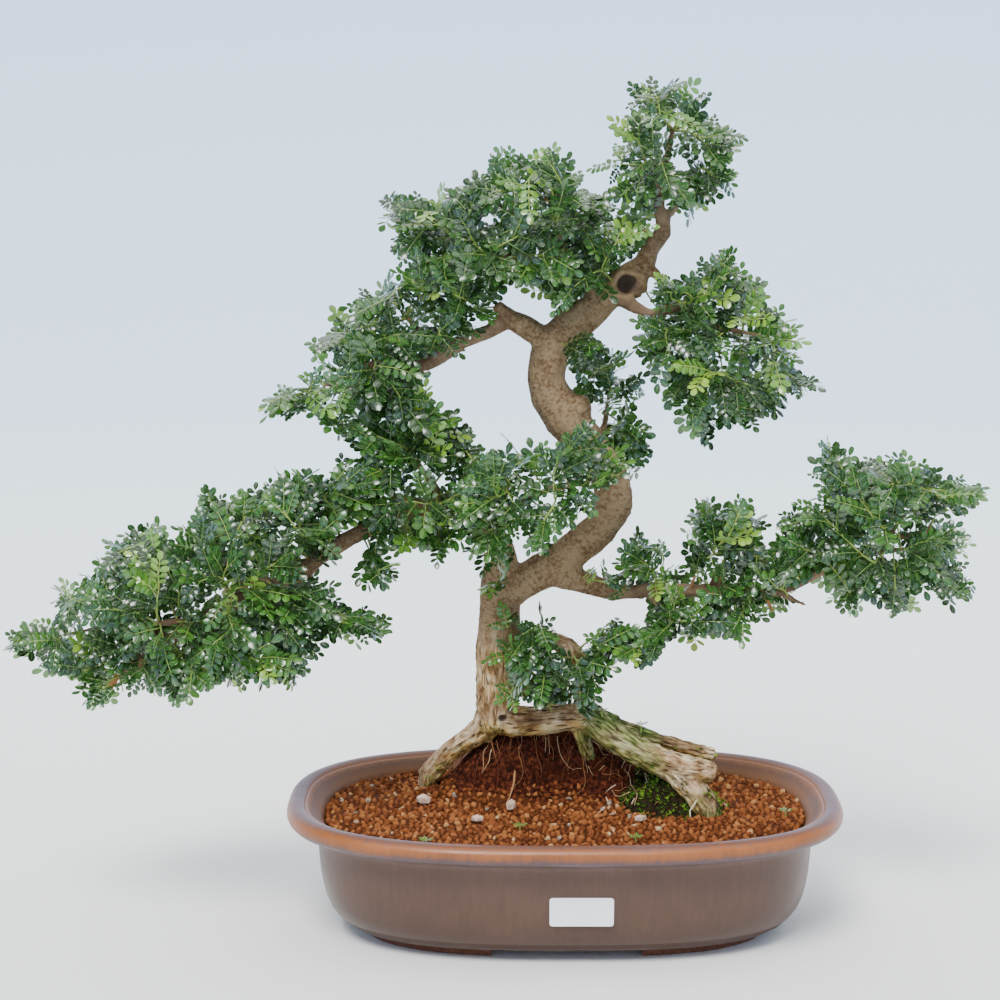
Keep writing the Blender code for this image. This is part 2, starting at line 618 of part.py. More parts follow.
def build_sprays(trunk, fixed, parts, leaf):
    """Every pad's sprays in turn, each from its own seed and clear of all that already stands."""
    wood_tree = bvh_of(trunk.data)
    obstacles = [wood_tree] + [bvh_of(obj.data) for obj in fixed]
    for pad, centre, tips in PADS:
        for i, tip in enumerate(tips):
            name = f"spray_{pad}_{i + 1}"
            draw = random.Random(f"{SEED} {name}")
            ends = (Vector(centre), Vector(tip))
            spray = build_spray(name, *ends, wood_tree, obstacles, parts, leaf, draw)
            if spray:
                obstacles.append(bvh_of(spray.data))


def build_label(parts, paper):
    """A card with round corners, held a hair's breadth off the front wall and leaning with it."""
    width, height, thickness = LABEL_SIZE
    curve = bpy.data.curves.new("label", "CURVE")
    curve.dimensions = "2D"
    curve.fill_mode = "BOTH"
    curve.extrude = thickness / 2 * MM
    spline = curve.splines.new("POLY")
    outline = []
    for corner, (sx, sy) in enumerate(((1, 1), (-1, 1), (-1, -1), (1, -1))):
        for step in range(4):
            turn = math.radians(90 * corner + 30 * step)
            x = sx * (width / 2 - LABEL_CORNER) + LABEL_CORNER * math.cos(turn)
            y = sy * (height / 2 - LABEL_CORNER) + LABEL_CORNER * math.sin(turn)
            outline.append((x * MM, y * MM, 0, 1))
    spline.points.add(len(outline) - 1)
    for point, place in zip(spline.points, outline):
        point.co = place
    spline.use_cyclic_u = True
    card = add_object("label", curve, parts)
    (low_inset, low), (high_inset, high) = WALL_LOW, WALL_HIGH
    lean = math.atan2(low_inset - high_inset, high - low)
    wall_inset = low_inset + (high_inset - low_inset) * (LABEL_Z - low) / (high - low)
    wall_y = -(RIM_HALF_DEPTH - wall_inset)
    card.rotation_euler = (math.pi / 2 + lean, 0, 0)
    card.location = Vector((LABEL_X, wall_y - GAP - thickness / 2 - 0.1, LABEL_Z)) * MM
    mesh = mesh_from_curve(card)
    return add_object("label", mesh, parts, paper)


def build_stones(soil, parts, stone):
    """Pale stones, each lowered until it almost touches the soil."""
    soil_tree = bvh_of(soil.data)
    for i, ((x, y), half_sizes, turn) in enumerate(STONES):
        pebble = ellipsoid(f"stone_{i + 1}", (x, y, 120), half_sizes, turn, 1, parts)
        pebble.data.materials.append(stone)
        drops = []
        for vertex in pebble.data.vertices:
            hit = soil_tree.ray_cast(vertex.co, Vector((0, 0, -1)))
            drops.append(hit[3] if hit[3] is not None else 1.0)
        pebble.data.transform(Matrix.Translation((0, 0, GAP * MM - min(drops))))


def centre_on_axis(parts):
    """Moves every piece so that the whole box is centred on the Z axis."""
    corners = [vertex.co for obj in parts.objects for vertex in obj.data.vertices]
    middle_x = (min(c.x for c in corners) + max(c.x for c in corners)) / 2
    middle_y = (min(c.y for c in corners) + max(c.y for c in corners)) / 2
    for obj in parts.objects:
        obj.data.transform(Matrix.Translation((-middle_x, -middle_y, 0)))


def main():
    clear_scene()
    parts = make_collection("chinese_pepper_bonsai")
    cutters = make_collection("cutters")
    pot = build_pot(parts, cutters, finish("glazed_stoneware", "5B4D49", 0.35))
    plastic = finish("screen_plastic", "2B2B2B", 0.5)
    build_screen("drain_screen_left", -DRAIN_X, parts, cutters, plastic)
    build_screen("drain_screen_right", DRAIN_X, parts, cutters, plastic)
    soil = build_soil(parts, cutters, finish("baked_clay_soil", "7A4326", 0.95))
    trunk = build_trunk(parts, cutters, finish("bark", "9B8470", 0.85))
    build_label(parts, finish("label_paper", "F2F1EC", 0.6))
    build_stones(soil, parts, finish("pale_stone", "D8C3AE", 0.8))
    build_sprays(trunk, [pot, soil], parts, finish("leaf_green", "2F6B2A", 0.4))
    centre_on_axis(parts)


main()
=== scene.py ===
# %% [markdown]
# # A Chinese pepper bonsai in an oval stoneware pot
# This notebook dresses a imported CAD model. The CAD gives every main solid its place and size.
# Each cell below makes one thing of the real object finer: the glazed pot, the bed of baked clay
# granules, the root ball, the bark, the moss and the foliage.
# Tables are in millimetres from the middle of the pot's foot plane: +X right, +Y back, +Z up.

# %% Load the fixed frame
import json
import math
import random

import bmesh
import bpy
import numpy as np
from mathutils import Matrix, Vector, noise
from mathutils.bvhtree import BVHTree

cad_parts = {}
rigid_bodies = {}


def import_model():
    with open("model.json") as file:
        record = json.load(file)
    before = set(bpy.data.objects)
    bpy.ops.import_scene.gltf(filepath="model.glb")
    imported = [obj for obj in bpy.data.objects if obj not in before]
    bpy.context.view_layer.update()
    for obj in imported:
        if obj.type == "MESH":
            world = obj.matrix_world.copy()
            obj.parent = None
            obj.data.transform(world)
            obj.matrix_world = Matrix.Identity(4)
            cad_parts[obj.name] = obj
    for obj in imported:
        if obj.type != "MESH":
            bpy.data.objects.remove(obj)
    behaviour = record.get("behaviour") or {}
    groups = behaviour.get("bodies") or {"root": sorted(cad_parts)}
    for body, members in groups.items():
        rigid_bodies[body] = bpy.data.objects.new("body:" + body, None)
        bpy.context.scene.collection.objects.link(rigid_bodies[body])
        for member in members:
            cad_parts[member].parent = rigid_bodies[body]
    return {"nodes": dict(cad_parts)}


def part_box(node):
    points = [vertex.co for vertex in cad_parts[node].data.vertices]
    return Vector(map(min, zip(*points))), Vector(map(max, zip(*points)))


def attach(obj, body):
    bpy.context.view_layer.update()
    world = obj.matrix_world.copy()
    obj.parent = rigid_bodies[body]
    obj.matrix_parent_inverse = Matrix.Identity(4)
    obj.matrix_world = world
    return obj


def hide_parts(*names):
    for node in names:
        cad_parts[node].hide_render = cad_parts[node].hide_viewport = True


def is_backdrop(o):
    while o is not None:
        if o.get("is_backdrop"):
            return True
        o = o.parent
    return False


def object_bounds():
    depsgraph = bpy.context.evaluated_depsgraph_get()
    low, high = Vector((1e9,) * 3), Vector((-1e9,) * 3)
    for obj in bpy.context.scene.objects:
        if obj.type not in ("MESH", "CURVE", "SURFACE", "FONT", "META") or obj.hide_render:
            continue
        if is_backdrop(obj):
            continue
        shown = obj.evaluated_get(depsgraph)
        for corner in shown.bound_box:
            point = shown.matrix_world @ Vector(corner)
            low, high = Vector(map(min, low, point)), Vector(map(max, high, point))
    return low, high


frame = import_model()
CAD_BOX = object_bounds()
NODES = frame["nodes"]
MM = 0.001
pot_low, pot_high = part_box("pot")
POT = Vector(((pot_low.x + pot_high.x) / 2, (pot_low.y + pot_high.y) / 2, 0))
print("nodes:", len(NODES), "pot centre:", tuple(round(v, 4) for v in POT))


def world(x, y, z):
    """A point in the frame, in metres, from millimetres about the pot."""
    return POT + Vector((x, y, z)) * MM


# %% [markdown]
# ## Camera
# The photograph was taken with a long lens a little above the pot, looking slightly down.
# The distance, the tilt and the focal length were fitted to the pot's rim, wall and feet.
# The same numbers turn a place in the 1000 x 1000 picture back into a place on the tree,
# which is how the foliage below gets its outline.

# %% Camera and its inverse
EYE = Vector((-49.7, -2000.0, 632.7))
TILT = 0.1503
FOCAL_PIXELS = 2650.0
SENSOR = 36.0
camera_data = bpy.data.cameras.new("camera")
camera_data.sensor_width = SENSOR
camera_data.lens = SENSOR * FOCAL_PIXELS / 1000
camera_data.clip_end = 200
camera = bpy.data.objects.new("camera", camera_data)
bpy.context.scene.collection.objects.link(camera)
camera.location = world(*EYE)
camera.rotation_euler = (math.pi / 2 - TILT, 0, 0)
bpy.context.scene.camera = camera


def from_view(px, py, y):
    """The point, in millimetres about the pot, that shows at a picture place and lies at depth y."""
    a, b = (px - 500) / FOCAL_PIXELS, (500 - py) / FOCAL_PIXELS
    reach = (y - EYE.y) / (math.cos(TILT) + b * math.sin(TILT))
    return Vector((EYE.x + a * reach, y, EYE.z + reach * (b * math.cos(TILT) - math.sin(TILT))))


def to_view(point):
    """The picture place of a point in millimetres about the pot."""
    x, y, z = point - EYE
    depth = y * math.cos(TILT) - z * math.sin(TILT)
    rise = y * math.sin(TILT) + z * math.cos(TILT)
    return 500 + FOCAL_PIXELS * x / depth, 500 - FOCAL_PIXELS * rise / depth


print("lens:", round(camera_data.lens, 1), "mm; one pixel at the trunk is 0.76 mm")

# %% [markdown]
# ## Nodes and meshes in few words
# Every material and every Geometry Nodes tree below is built with one small function that adds
# a node, sets its properties and joins its sockets. Colours are written as sRGB hex values and
# turned into linear light in one place.


# %% Helpers for nodes, meshes and pieces
def linear(hex_text):
    channels = [int(hex_text[i : i + 2], 16) / 255 for i in (0, 2, 4)]
    return (*[c / 12.92 if c < 0.04045 else ((c + 0.055) / 1.055) ** 2.4 for c in channels], 1.0)


def add(tree, kind, inputs=None, stops=None, **settings):
    """Adds a node. inputs maps a socket to a value or to the socket that feeds it.
    stops are (place, hex colour) pairs along a colour ramp."""
    made = tree.nodes.new(kind)
    for key, value in settings.items():
        setattr(made, key, value)
    for key, value in (inputs or {}).items():
        if isinstance(value, bpy.types.NodeSocket):
            tree.links.new(value, made.inputs[key])
        else:
            made.inputs[key].default_value = value
    if stops:
        elements = made.color_ramp.elements
        for i, (place, colour) in enumerate(stops):
            stop = elements[i] if i < 2 else elements.new(place)
            stop.position = place
            stop.color = linear(colour)
    return made


def new_material(name, roughness, **constants):
    """A material with one Principled BSDF, whose constants sit on the shader's own sockets.
    Gives the material, its tree, the shader and the Object coordinates that patterns follow."""
    material = bpy.data.materials.new(name)
    material.use_nodes = True
    tree = material.node_tree
    shader = tree.nodes["Principled BSDF"]
    shader.inputs["Roughness"].default_value = roughness
    for key, value in constants.items():
        shader.inputs[key.replace("_", " ")].default_value = value
    return material, tree, shader, add(tree, "ShaderNodeTexCoord").outputs["Object"]


def object_of(name, mesh, material=None):
    obj = bpy.data.objects.new(name, mesh)
    bpy.context.scene.collection.objects.link(obj)
    if material:
        mesh.materials.clear()
        mesh.materials.append(material)
    return obj


def mesh_of(name, points, faces, smooth=True):
    mesh = bpy.data.meshes.new(name)
    mesh.from_pydata([tuple(p) for p in points], [], faces)
    mesh.validate()
    mesh.shade_smooth() if smooth else mesh.shade_flat()
    return mesh


def put_attribute(mesh, name, kind, values, domain="POINT"):
    attribute = mesh.attributes.new(name, kind, domain)
    field = "vector" if kind == "FLOAT_VECTOR" else "value"
    attribute.data.foreach_set(field, np.asarray(values).ravel())


def triangles(mesh):
    return sum(len(polygon.vertices) - 2 for polygon in mesh.polygons)


def show(obj, slot, *replaced):
    """Hands a finished piece to the frame: it rides on the root body."""
    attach(obj, "root")
    if replaced:
        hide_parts(*replaced)
    print(obj.name, triangles(obj.data), "triangles")
    return obj


def new_tree(name, inputs):
    """A Geometry Nodes tree with geometry in and out and named inputs of (name, socket, default)."""
    tree = bpy.data.node_groups.new(name, "GeometryNodeTree")
    tree.interface.new_socket("Geometry", in_out="INPUT", socket_type="NodeSocketGeometry")
    for label, socket, default in inputs:
        made = tree.interface.new_socket(label, in_out="INPUT", socket_type="NodeSocket" + socket)
        if default is not None:
            made.default_value = default
    tree.interface.new_socket("Geometry", in_out="OUTPUT", socket_type="NodeSocketGeometry")
    return tree, tree.nodes.new("NodeGroupInput").outputs, tree.nodes.new("NodeGroupOutput").inputs


def run_tree(name, mesh, tree, values):
    """The plain mesh that a Geometry Nodes tree makes of a mesh."""
    source = object_of(name + "_source", mesh)
    modifier = source.modifiers.new("Nodes", "NODES")
    modifier.node_group = tree
    for item in tree.interface.items_tree:
        if item.in_out == "INPUT" and item.name in values:
            modifier[item.identifier] = values[item.name]
    bpy.context.view_layer.update()
    result = source.evaluated_get(bpy.context.evaluated_depsgraph_get())
    made = bpy.data.meshes.new_from_object(result)
    made.name = name
    bpy.data.objects.remove(source)
    return object_of(name, made)


def shapes_collection(name, meshes):
    """Small shapes kept out of the render, for a tree to copy."""
    collection = bpy.data.collections.new(name)
    bpy.context.scene.collection.children.link(collection)
    for i, mesh in enumerate(meshes):
        obj = bpy.data.objects.new(f"{name}_{i:02d}", mesh)
        obj.hide_render = True
        collection.objects.link(obj)
    return collection


def drop_collection(collection):
    for obj in list(collection.objects):
        bpy.data.objects.remove(obj)
    bpy.data.collections.remove(collection)


# %% [markdown]
# ## Floor and light
# A plain pale floor runs back and sweeps up all round, like the paper roll of a studio, so that no
# horizon shows. Its far part glows faintly, white below and pale blue above, as a lit backdrop does.
# The sky is brightest overhead: that is the large diffuser whose reflection makes leaves glint.


# %% Floor, sky and lights
# The paper roll in metres: flat rings, then a quarter circle, then straight up.
FLAT_RINGS = (0.0, 0.5, 1.2, 2.2, 3.4)
SWEEP_RADIUS, SWEEP_STEPS, SWEEP_TOP = 1.3, 12, 2.6
FLOOR_SIDES = 96
PAPER_REACH = 5.0  # how far from the pot the colour ramp ends
GLOW_FROM, GLOW_TO, BACKDROP_GLOW = 0.5, 2.2, 0.3
# Strength of the sky at the side and overhead, and the heights between which it changes.
SKY_SIDE, SKY_TOP = 0.4, 2.2
SKY_LOW, SKY_HIGH = 0.45, 0.95
LAMPS = (  # (name, strength, width in degrees, turn in degrees)
    ("key", 3.6, 24, (38, 8, -26)), ("fill", 0.3, 60, (62, 0, 55)), ("back", 0.7, 50, (-50, 0, 12)),
)


def build_floor():
    rings = [(radius, 0.0) for radius in FLAT_RINGS]
    flat = FLAT_RINGS[-1]
    for k in range(1, SWEEP_STEPS + 1):
        bend = math.pi / 2 * k / SWEEP_STEPS
        rings.append((flat + SWEEP_RADIUS * math.sin(bend), SWEEP_RADIUS * (1 - math.cos(bend))))
    rings.append((flat + SWEEP_RADIUS, SWEEP_TOP))
    points = [POT.copy()]
    faces = []
    for k, (radius, height) in enumerate(rings[1:]):
        low, high = 1 + (k - 1) * FLOOR_SIDES, 1 + k * FLOOR_SIDES
        for i in range(FLOOR_SIDES):
            j = (i + 1) % FLOOR_SIDES
            turn = 2 * math.pi * i / FLOOR_SIDES
            points.append(POT + Vector((radius * math.cos(turn), radius * math.sin(turn), height)))
            faces.append((low + i, high + i, high + j, low + j) if k else (0, 1 + i, 1 + j))
    material, tree, shader, place = new_material("matte_floor_paint", 0.9)
    length = add(tree, "ShaderNodeVectorMath", {0: place}, operation="LENGTH").outputs["Value"]
    share = add(tree, "ShaderNodeMath", {0: length, 1: PAPER_REACH}, operation="DIVIDE").outputs[0]
    ramp = add(tree, "ShaderNodeValToRGB", {0: share}, stops=(
        (0.0, "FAF7F2"), (0.2, "F4F8F6"), (0.5, "D8ECF2"), (0.85, "C6DAEC"), (1.0, "C4D2EA"),
    ))
    tree.links.new(ramp.outputs[0], shader.inputs["Base Color"])
    tree.links.new(ramp.outputs[0], shader.inputs["Emission Color"])
    glow = add(tree, "ShaderNodeMapRange", {
        0: length, 1: GLOW_FROM, 2: GLOW_TO, 3: 0.0, 4: BACKDROP_GLOW,
    }).outputs[0]
    tree.links.new(glow, shader.inputs["Emission Strength"])
    # So faint a glow needs no light sampling of its own, which would double the render's time.
    material.cycles.emission_sampling = "NONE"
    floor = object_of("floor", mesh_of("floor", points, faces), material)
    floor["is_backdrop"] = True


def build_light():
    sky = bpy.data.worlds.new("studio_sky")
    bpy.context.scene.world = sky
    sky.use_nodes = True
    tree = sky.node_tree
    background = tree.nodes["Background"]
    background.inputs["Color"].default_value = linear("EFEFF0")
    way = add(tree, "ShaderNodeTexCoord").outputs["Generated"]
    upward = add(tree, "ShaderNodeSeparateXYZ", {0: way}).outputs[2]
    strength = add(tree, "ShaderNodeMapRange", {
        0: upward, 1: SKY_LOW, 2: SKY_HIGH, 3: SKY_SIDE, 4: SKY_TOP,
    }, interpolation_type="SMOOTHSTEP").outputs[0]
    tree.links.new(strength, background.inputs["Strength"])
    for name, energy, wide, turn in LAMPS:
        lamp = bpy.data.lights.new(name, "SUN")
        lamp.energy = energy
        lamp.angle = math.radians(wide)
        light = bpy.data.objects.new(name, lamp)
        light.rotation_euler = [math.radians(v) for v in turn]
        bpy.context.scene.collection.objects.link(light)


build_floor()
build_light()
print("floor and three soft lights")

# %% [markdown]
# ## The pot
# The real pot is thrown or pressed stoneware: a rolled lip, a belly that draws in to a foot ring,
# and four gaps in the ring that leave corner feet. Its glaze is dark where it lies thick and
# breaks to copper brown on the lip; the feet are bare clay.
# A stack of ovals follows the section, finer than the CAD's, and the gaps and drain holes are cut.

# %% The pot's section and its oval
HALF_WIDTH = 214.0
HALF_DEPTH = 156.0
OVAL_POWER = 2.7
OVAL_SIDES = 168
# (inset from the rim, height) from under the floor, up the outside, over the lip and down inside.
SECTION = (
    (73.5, 6.4), (72.6, 0.8), (71.8, 0.0), (58.4, 0.0), (57.7, 0.7), (57.2, 5.6), (56.2, 6.4),
    (51.0, 7.2), (46.0, 8.5), (41.2, 11.6), (36.6, 16.2), (32.7, 21.6), (29.5, 29.0), (27.2, 38.0),
    (25.5, 48.0), (24.6, 58.0), (23.9, 68.0), (23.4, 75.0), (22.2, 78.6), (19.0, 80.8), (13.0, 82.4),
    (7.4, 84.0), (3.6, 86.0), (1.3, 88.4), (0.2, 91.0), (0.2, 93.4), (1.1, 95.8), (2.9, 97.8),
    (5.4, 99.1), (8.4, 99.6), (11.2, 99.2), (13.2, 98.0), (14.4, 96.9), (15.8, 96.9), (17.4, 96.2),
    (20.2, 93.8), (24.2, 90.2), (28.2, 86.4), (29.8, 78.0), (31.0, 62.0), (32.0, 46.0), (34.0, 34.0),
    (37.4, 25.6), (42.0, 19.2), (48.2, 15.2), (60.0, 15.0),
)
FOOT_GAPS = ((113.0, 400.0), (500.0, 74.0))
FOOT_GAP_TOP = 5.6
DRAIN_X = 82.0
DRAIN_RADIUS = 10.0


def oval(inset, height, share=1.0, sides=OVAL_SIDES):
    """Points of the pot's oval in the frame, pulled in by inset."""
    ring = []
    for i in range(sides):
        turn = 2 * math.pi * i / sides
        c, s = math.cos(turn), math.sin(turn)
        x = (HALF_WIDTH - inset) * share * math.copysign(abs(c) ** (2 / OVAL_POWER), c)
        y = (HALF_DEPTH - inset) * share * math.copysign(abs(s) ** (2 / OVAL_POWER), s)
        ring.append(world(x, y, height))
    return ring


def cutter(name, centre, size, round_sides=0):
    bm = bmesh.new()
    if round_sides:
        bmesh.ops.create_cone(bm, cap_ends=True, segments=round_sides, radius1=0.5, radius2=0.5, depth=1)
    else:
        bmesh.ops.create_cube(bm, size=1)
    bmesh.ops.scale(bm, vec=Vector(size) * MM, verts=bm.verts)
    bmesh.ops.translate(bm, vec=world(*centre), verts=bm.verts)
    mesh = bpy.data.meshes.new(name)
    bm.to_mesh(mesh)
    bm.free()
    return object_of(name, mesh)


def plain_mesh(obj):
    """The mesh of an object after its modifiers."""
    bpy.context.view_layer.update()
    return bpy.data.meshes.new_from_object(obj.evaluated_get(bpy.context.evaluated_depsgraph_get()))


print("section points:", len(SECTION), "sides:", OVAL_SIDES)

# %% [markdown]
# ### Glaze and clay
# Iron glaze on stoneware: fired satin, dark grey brown with a violet cast, with fine streaks that
# ran downwards and a copper lip where it pulled thin. The band colours follow the height on the
# pot, and noise drawn out along the height gives the runs.


# %% Pot materials
def speckled(name, roughness, scale, stops, bump_depth, bump_share=0.5, **constants):
    """A finish whose colour and relief both come from one noise pattern."""
    material, tree, shader, place = new_material(name, roughness, **constants)
    grain = add(tree, "ShaderNodeTexNoise", {"Vector": place, "Scale": scale, "Detail": 4}).outputs[0]
    ramp = add(tree, "ShaderNodeValToRGB", {0: grain}, stops=stops)
    tree.links.new(ramp.outputs[0], shader.inputs["Base Color"])
    bump = add(tree, "ShaderNodeBump", {"Strength": bump_share, "Distance": bump_depth, "Height": grain})
    tree.links.new(bump.outputs[0], shader.inputs["Normal"])
    return material


# Sizes of the glaze's marks as noise scales: runs 4 mm apart, clouds of 40 mm, pits of 1.5 mm.
GLAZE_RUNS, GLAZE_CLOUDS, GLAZE_PITS = 260, 26, 700
RUN_STRETCH = 0.12  # a run is eight times longer than wide


def glaze_material(name, stops, wobble, smoothest, roughest):
    """Stops lie along the height in tenths of a metre; wobble shifts them from place to place."""
    material, tree, shader, place = new_material(name, 0.4, Specular_IOR_Level=0.35)
    runs_at = add(tree, "ShaderNodeMapping", {"Vector": place, "Scale": (1, 1, RUN_STRETCH)}).outputs[0]
    runs = add(tree, "ShaderNodeTexNoise", {
        "Vector": runs_at, "Scale": GLAZE_RUNS, "Detail": 3,
    }).outputs[0]
    clouds = add(tree, "ShaderNodeTexNoise", {
        "Vector": place, "Scale": GLAZE_CLOUDS, "Detail": 4,
    }).outputs[0]
    height = add(tree, "ShaderNodeSeparateXYZ", {0: place}).outputs[2]
    share = add(tree, "ShaderNodeMath", {0: height, 1: 10.0}, operation="MULTIPLY").outputs[0]
    mixed = add(tree, "ShaderNodeMath", {0: runs, 1: clouds}, operation="ADD").outputs[0]
    shift = add(tree, "ShaderNodeMath", {0: mixed, 1: wobble, 2: -wobble}, operation="MULTIPLY_ADD")
    banded = add(tree, "ShaderNodeMath", {0: share, 1: shift.outputs[0]}, operation="ADD").outputs[0]
    ramp = add(tree, "ShaderNodeValToRGB", {0: banded}, stops=stops).outputs[0]
    streak = add(tree, "ShaderNodeMapRange", {0: runs, 1: 0.35, 2: 0.7, 3: 0.93, 4: 1.06}).outputs[0]
    patch = add(tree, "ShaderNodeMapRange", {0: clouds, 1: 0.35, 2: 0.7, 3: 0.9, 4: 1.1}).outputs[0]
    tone = add(tree, "ShaderNodeMath", {0: streak, 1: patch}, operation="MULTIPLY").outputs[0]
    colour = add(
        tree, "ShaderNodeMix", {0: 1.0, 6: ramp, 7: tone}, data_type="RGBA", blend_type="MULTIPLY",
    ).outputs[2]
    tree.links.new(colour, shader.inputs["Base Color"])
    rough = add(tree, "ShaderNodeMapRange", {0: clouds, 1: 0.3, 2: 0.7, 3: smoothest, 4: roughest})
    tree.links.new(rough.outputs[0], shader.inputs["Roughness"])
    pits = add(tree, "ShaderNodeTexNoise", {
        "Vector": place, "Scale": GLAZE_PITS, "Detail": 2,
    }).outputs[0]
    bump = add(tree, "ShaderNodeBump", {"Strength": 0.12, "Distance": 0.0004, "Height": pits})
    tree.links.new(bump.outputs[0], shader.inputs["Normal"])
    return material


# Iron glaze: satin, so highlights are broad and soft; copper where it pulled thin on the lip.
GLAZE = glaze_material("satin_iron_glaze", (
    (0.06, "3E2B21"), (0.14, "4B372C"), (0.45, "533C30"), (0.74, "5A4034"), (0.82, "5E4A44"),
    (0.875, "57464A"), (0.915, "86502C"), (0.965, "95582F"), (0.992, "6B4A42"),
), 0.05, 0.3, 0.45)
# The same glaze inside, thin and dusty, so that it hardly shines.
GLAZE_INSIDE = glaze_material("satin_iron_glaze_inside", (
    (0.1, "3A2416"), (0.8, "644024"), (0.9, "754C2C"), (0.945, "644432"), (0.97, "7E4F2E"),
), 0.03, 0.5, 0.65)
# Bare fired stoneware: dull red brown, with 2 mm grit that takes the shine away.
BARE_CLAY = speckled(
    "bare_stoneware_clay", 0.85, 420, ((0.3, "56301F"), (0.7, "7A4A33")), 0.0005, 0.4,
)
print("pot finishes: satin glaze outside and inside, bare clay under the feet")


# %% The pot itself
# Heights that part the finishes: bare clay below the first, the inner floor between the next two,
# and the lip, which has the outer glaze on both sides, above the last.
FOOT_CLAY_TOP, INSIDE_FROM, INNER_FLOOR_TOP, LIP_FROM = 6.3, 13, 16, 97.5
CREASE = 50  # degrees


def build_pot():
    rings = [oval(inset, height) for inset, height in SECTION]
    points = [p for ring in rings for p in ring]
    faces = []
    for k in range(len(rings) - 1):
        for i in range(OVAL_SIDES):
            j = (i + 1) % OVAL_SIDES
            low, high = k * OVAL_SIDES, (k + 1) * OVAL_SIDES
            faces.append((low + i, low + j, high + j, high + i))
    faces.append(tuple(range(OVAL_SIDES))[::-1])
    faces.append(tuple(range(len(points) - OVAL_SIDES, len(points))))
    body = object_of("stoneware_pot", mesh_of("stoneware_pot", points, faces))
    tools = [
        cutter("gap", (0, 0, FOOT_GAP_TOP / 2 - 5), (wide, deep, FOOT_GAP_TOP + 10))
        for wide, deep in FOOT_GAPS
    ]
    for x in (-DRAIN_X, DRAIN_X):
        tools.append(cutter("drain", (x, 0, 10), (2 * DRAIN_RADIUS, 2 * DRAIN_RADIUS, 40), 40))
    for tool in tools:
        cut = body.modifiers.new("cut", "BOOLEAN")
        cut.operation = "DIFFERENCE"
        cut.solver = "EXACT"
        cut.object = tool
    mesh = plain_mesh(body)
    for obj in [body, *tools]:
        bpy.data.objects.remove(obj)
    mesh.materials.clear()
    for material in (GLAZE, GLAZE_INSIDE, BARE_CLAY):
        mesh.materials.append(material)
    mesh.shade_smooth()
    for polygon in mesh.polygons:
        centre = (polygon.center - POT) / MM
        outward = Vector((centre.x / HALF_WIDTH**2, centre.y / HALF_DEPTH**2, 0)).normalized()
        faces_in = polygon.normal.dot(outward) < -0.1 or centre.z < INNER_FLOOR_TOP
        inside = faces_in and INSIDE_FROM < centre.z < LIP_FROM
        polygon.material_index = 2 if centre.z < FOOT_CLAY_TOP else 1 if inside else 0
    mesh.set_sharp_from_angle(angle=math.radians(CREASE))
    return object_of("stoneware_pot", mesh)


show(build_pot(), "glazed_stoneware", "pot")

# %% [markdown]
# ## Label, drain screens and stones
# A blank paper card is stuck to the front wall. Plastic screens keep the soil in over the drain
# holes, and a few pale stones lie on the soil. Their solids are already right, so the card and the
# screens only get their finish, and each stone is broken into rough facets.


# %% Small parts
# Coated card: nearly white, with a fibre grain that only shows in raking light.
CARD = speckled("coated_paper_card", 0.45, 900, ((0.3, "F1F0EE"), (0.7, "FBFAF8")), 0.00005)
# Moulded polypropylene: dull black with a slight flow mottle.
PLASTIC = speckled("moulded_polypropylene", 0.5, 200, ((0.3, "1C1C1D"), (0.7, "2C2C2D")), 0.0001)
# Broken limestone chips: chalky, cream to pink, never shiny.
STONE = speckled("pale_limestone", 0.85, 220, ((0.3, "B08C72"), (0.7, "DEC4AE")), 0.0006)
NODES["label"].data.materials[0] = CARD
for side in ("left", "right"):
    NODES[f"drain_screen_{side}"].data.materials[0] = PLASTIC


def merged_copy(node):
    """A CAD node's mesh as a closed mesh in a new block."""
    bm = bmesh.new()
    bm.from_mesh(NODES[node].data)
    bmesh.ops.remove_doubles(bm, verts=bm.verts, dist=1e-6)
    mesh = bpy.data.meshes.new(node + "_copy")
    bm.to_mesh(mesh)
    bm.free()
    return mesh


# Lumps of a stone as (noise scale, height in millimetres): broken faces, then chips.
STONE_LUMPS = ((220, 0.7), (500, 0.25))


def build_stone(node, seed):
    stone = object_of(node + "_rough", merged_copy(node), STONE)
    finer = stone.modifiers.new("finer", "SUBSURF")
    finer.subdivision_type = "SIMPLE"
    finer.levels = finer.render_levels = 2
    mesh = plain_mesh(stone)
    bpy.data.objects.remove(stone)
    offset = Vector((seed, 0, 0))
    for vertex in mesh.vertices:
        lump = sum(noise.noise(vertex.co * scale + offset) * high for scale, high in STONE_LUMPS)
        vertex.co += vertex.normal * lump * MM
    mesh.shade_flat()
    show(object_of(node + "_rough", mesh), "pale_stone", node)


for number in range(1, 5):
    build_stone(f"stone_{number}", 3.7 * number)

# %% [markdown]
# ## Soil bed
# Bonsai soil is baked clay broken and sieved to about 3 to 6 mm, with odd grains of pumice and
# lava. The CAD soil is its body. A Geometry Nodes tree scatters such grains over a fine grid
# that is dropped onto that body, so every grain sits where the soil is. The root ball and the
# moss stay free of grains.

# %% The grid that carries the grains
SOIL_EDGE = 30.6  # how far in from the rim the bed ends
SOIL_RINGS, SOIL_SIDES = 35, 120
SOIL_SHARES = [0.02 + 0.98 * (k / (SOIL_RINGS - 1)) ** 0.8 for k in range(SOIL_RINGS)]
# The CAD's two mounds: (middle), (spread), height.
ROOT_BALL = ((-18, 46), (46, 24), 43.0)
MOSS_HUMP = ((84, 8), (28, 15), 10.0)
MOUND_STEEPNESS = 1.6
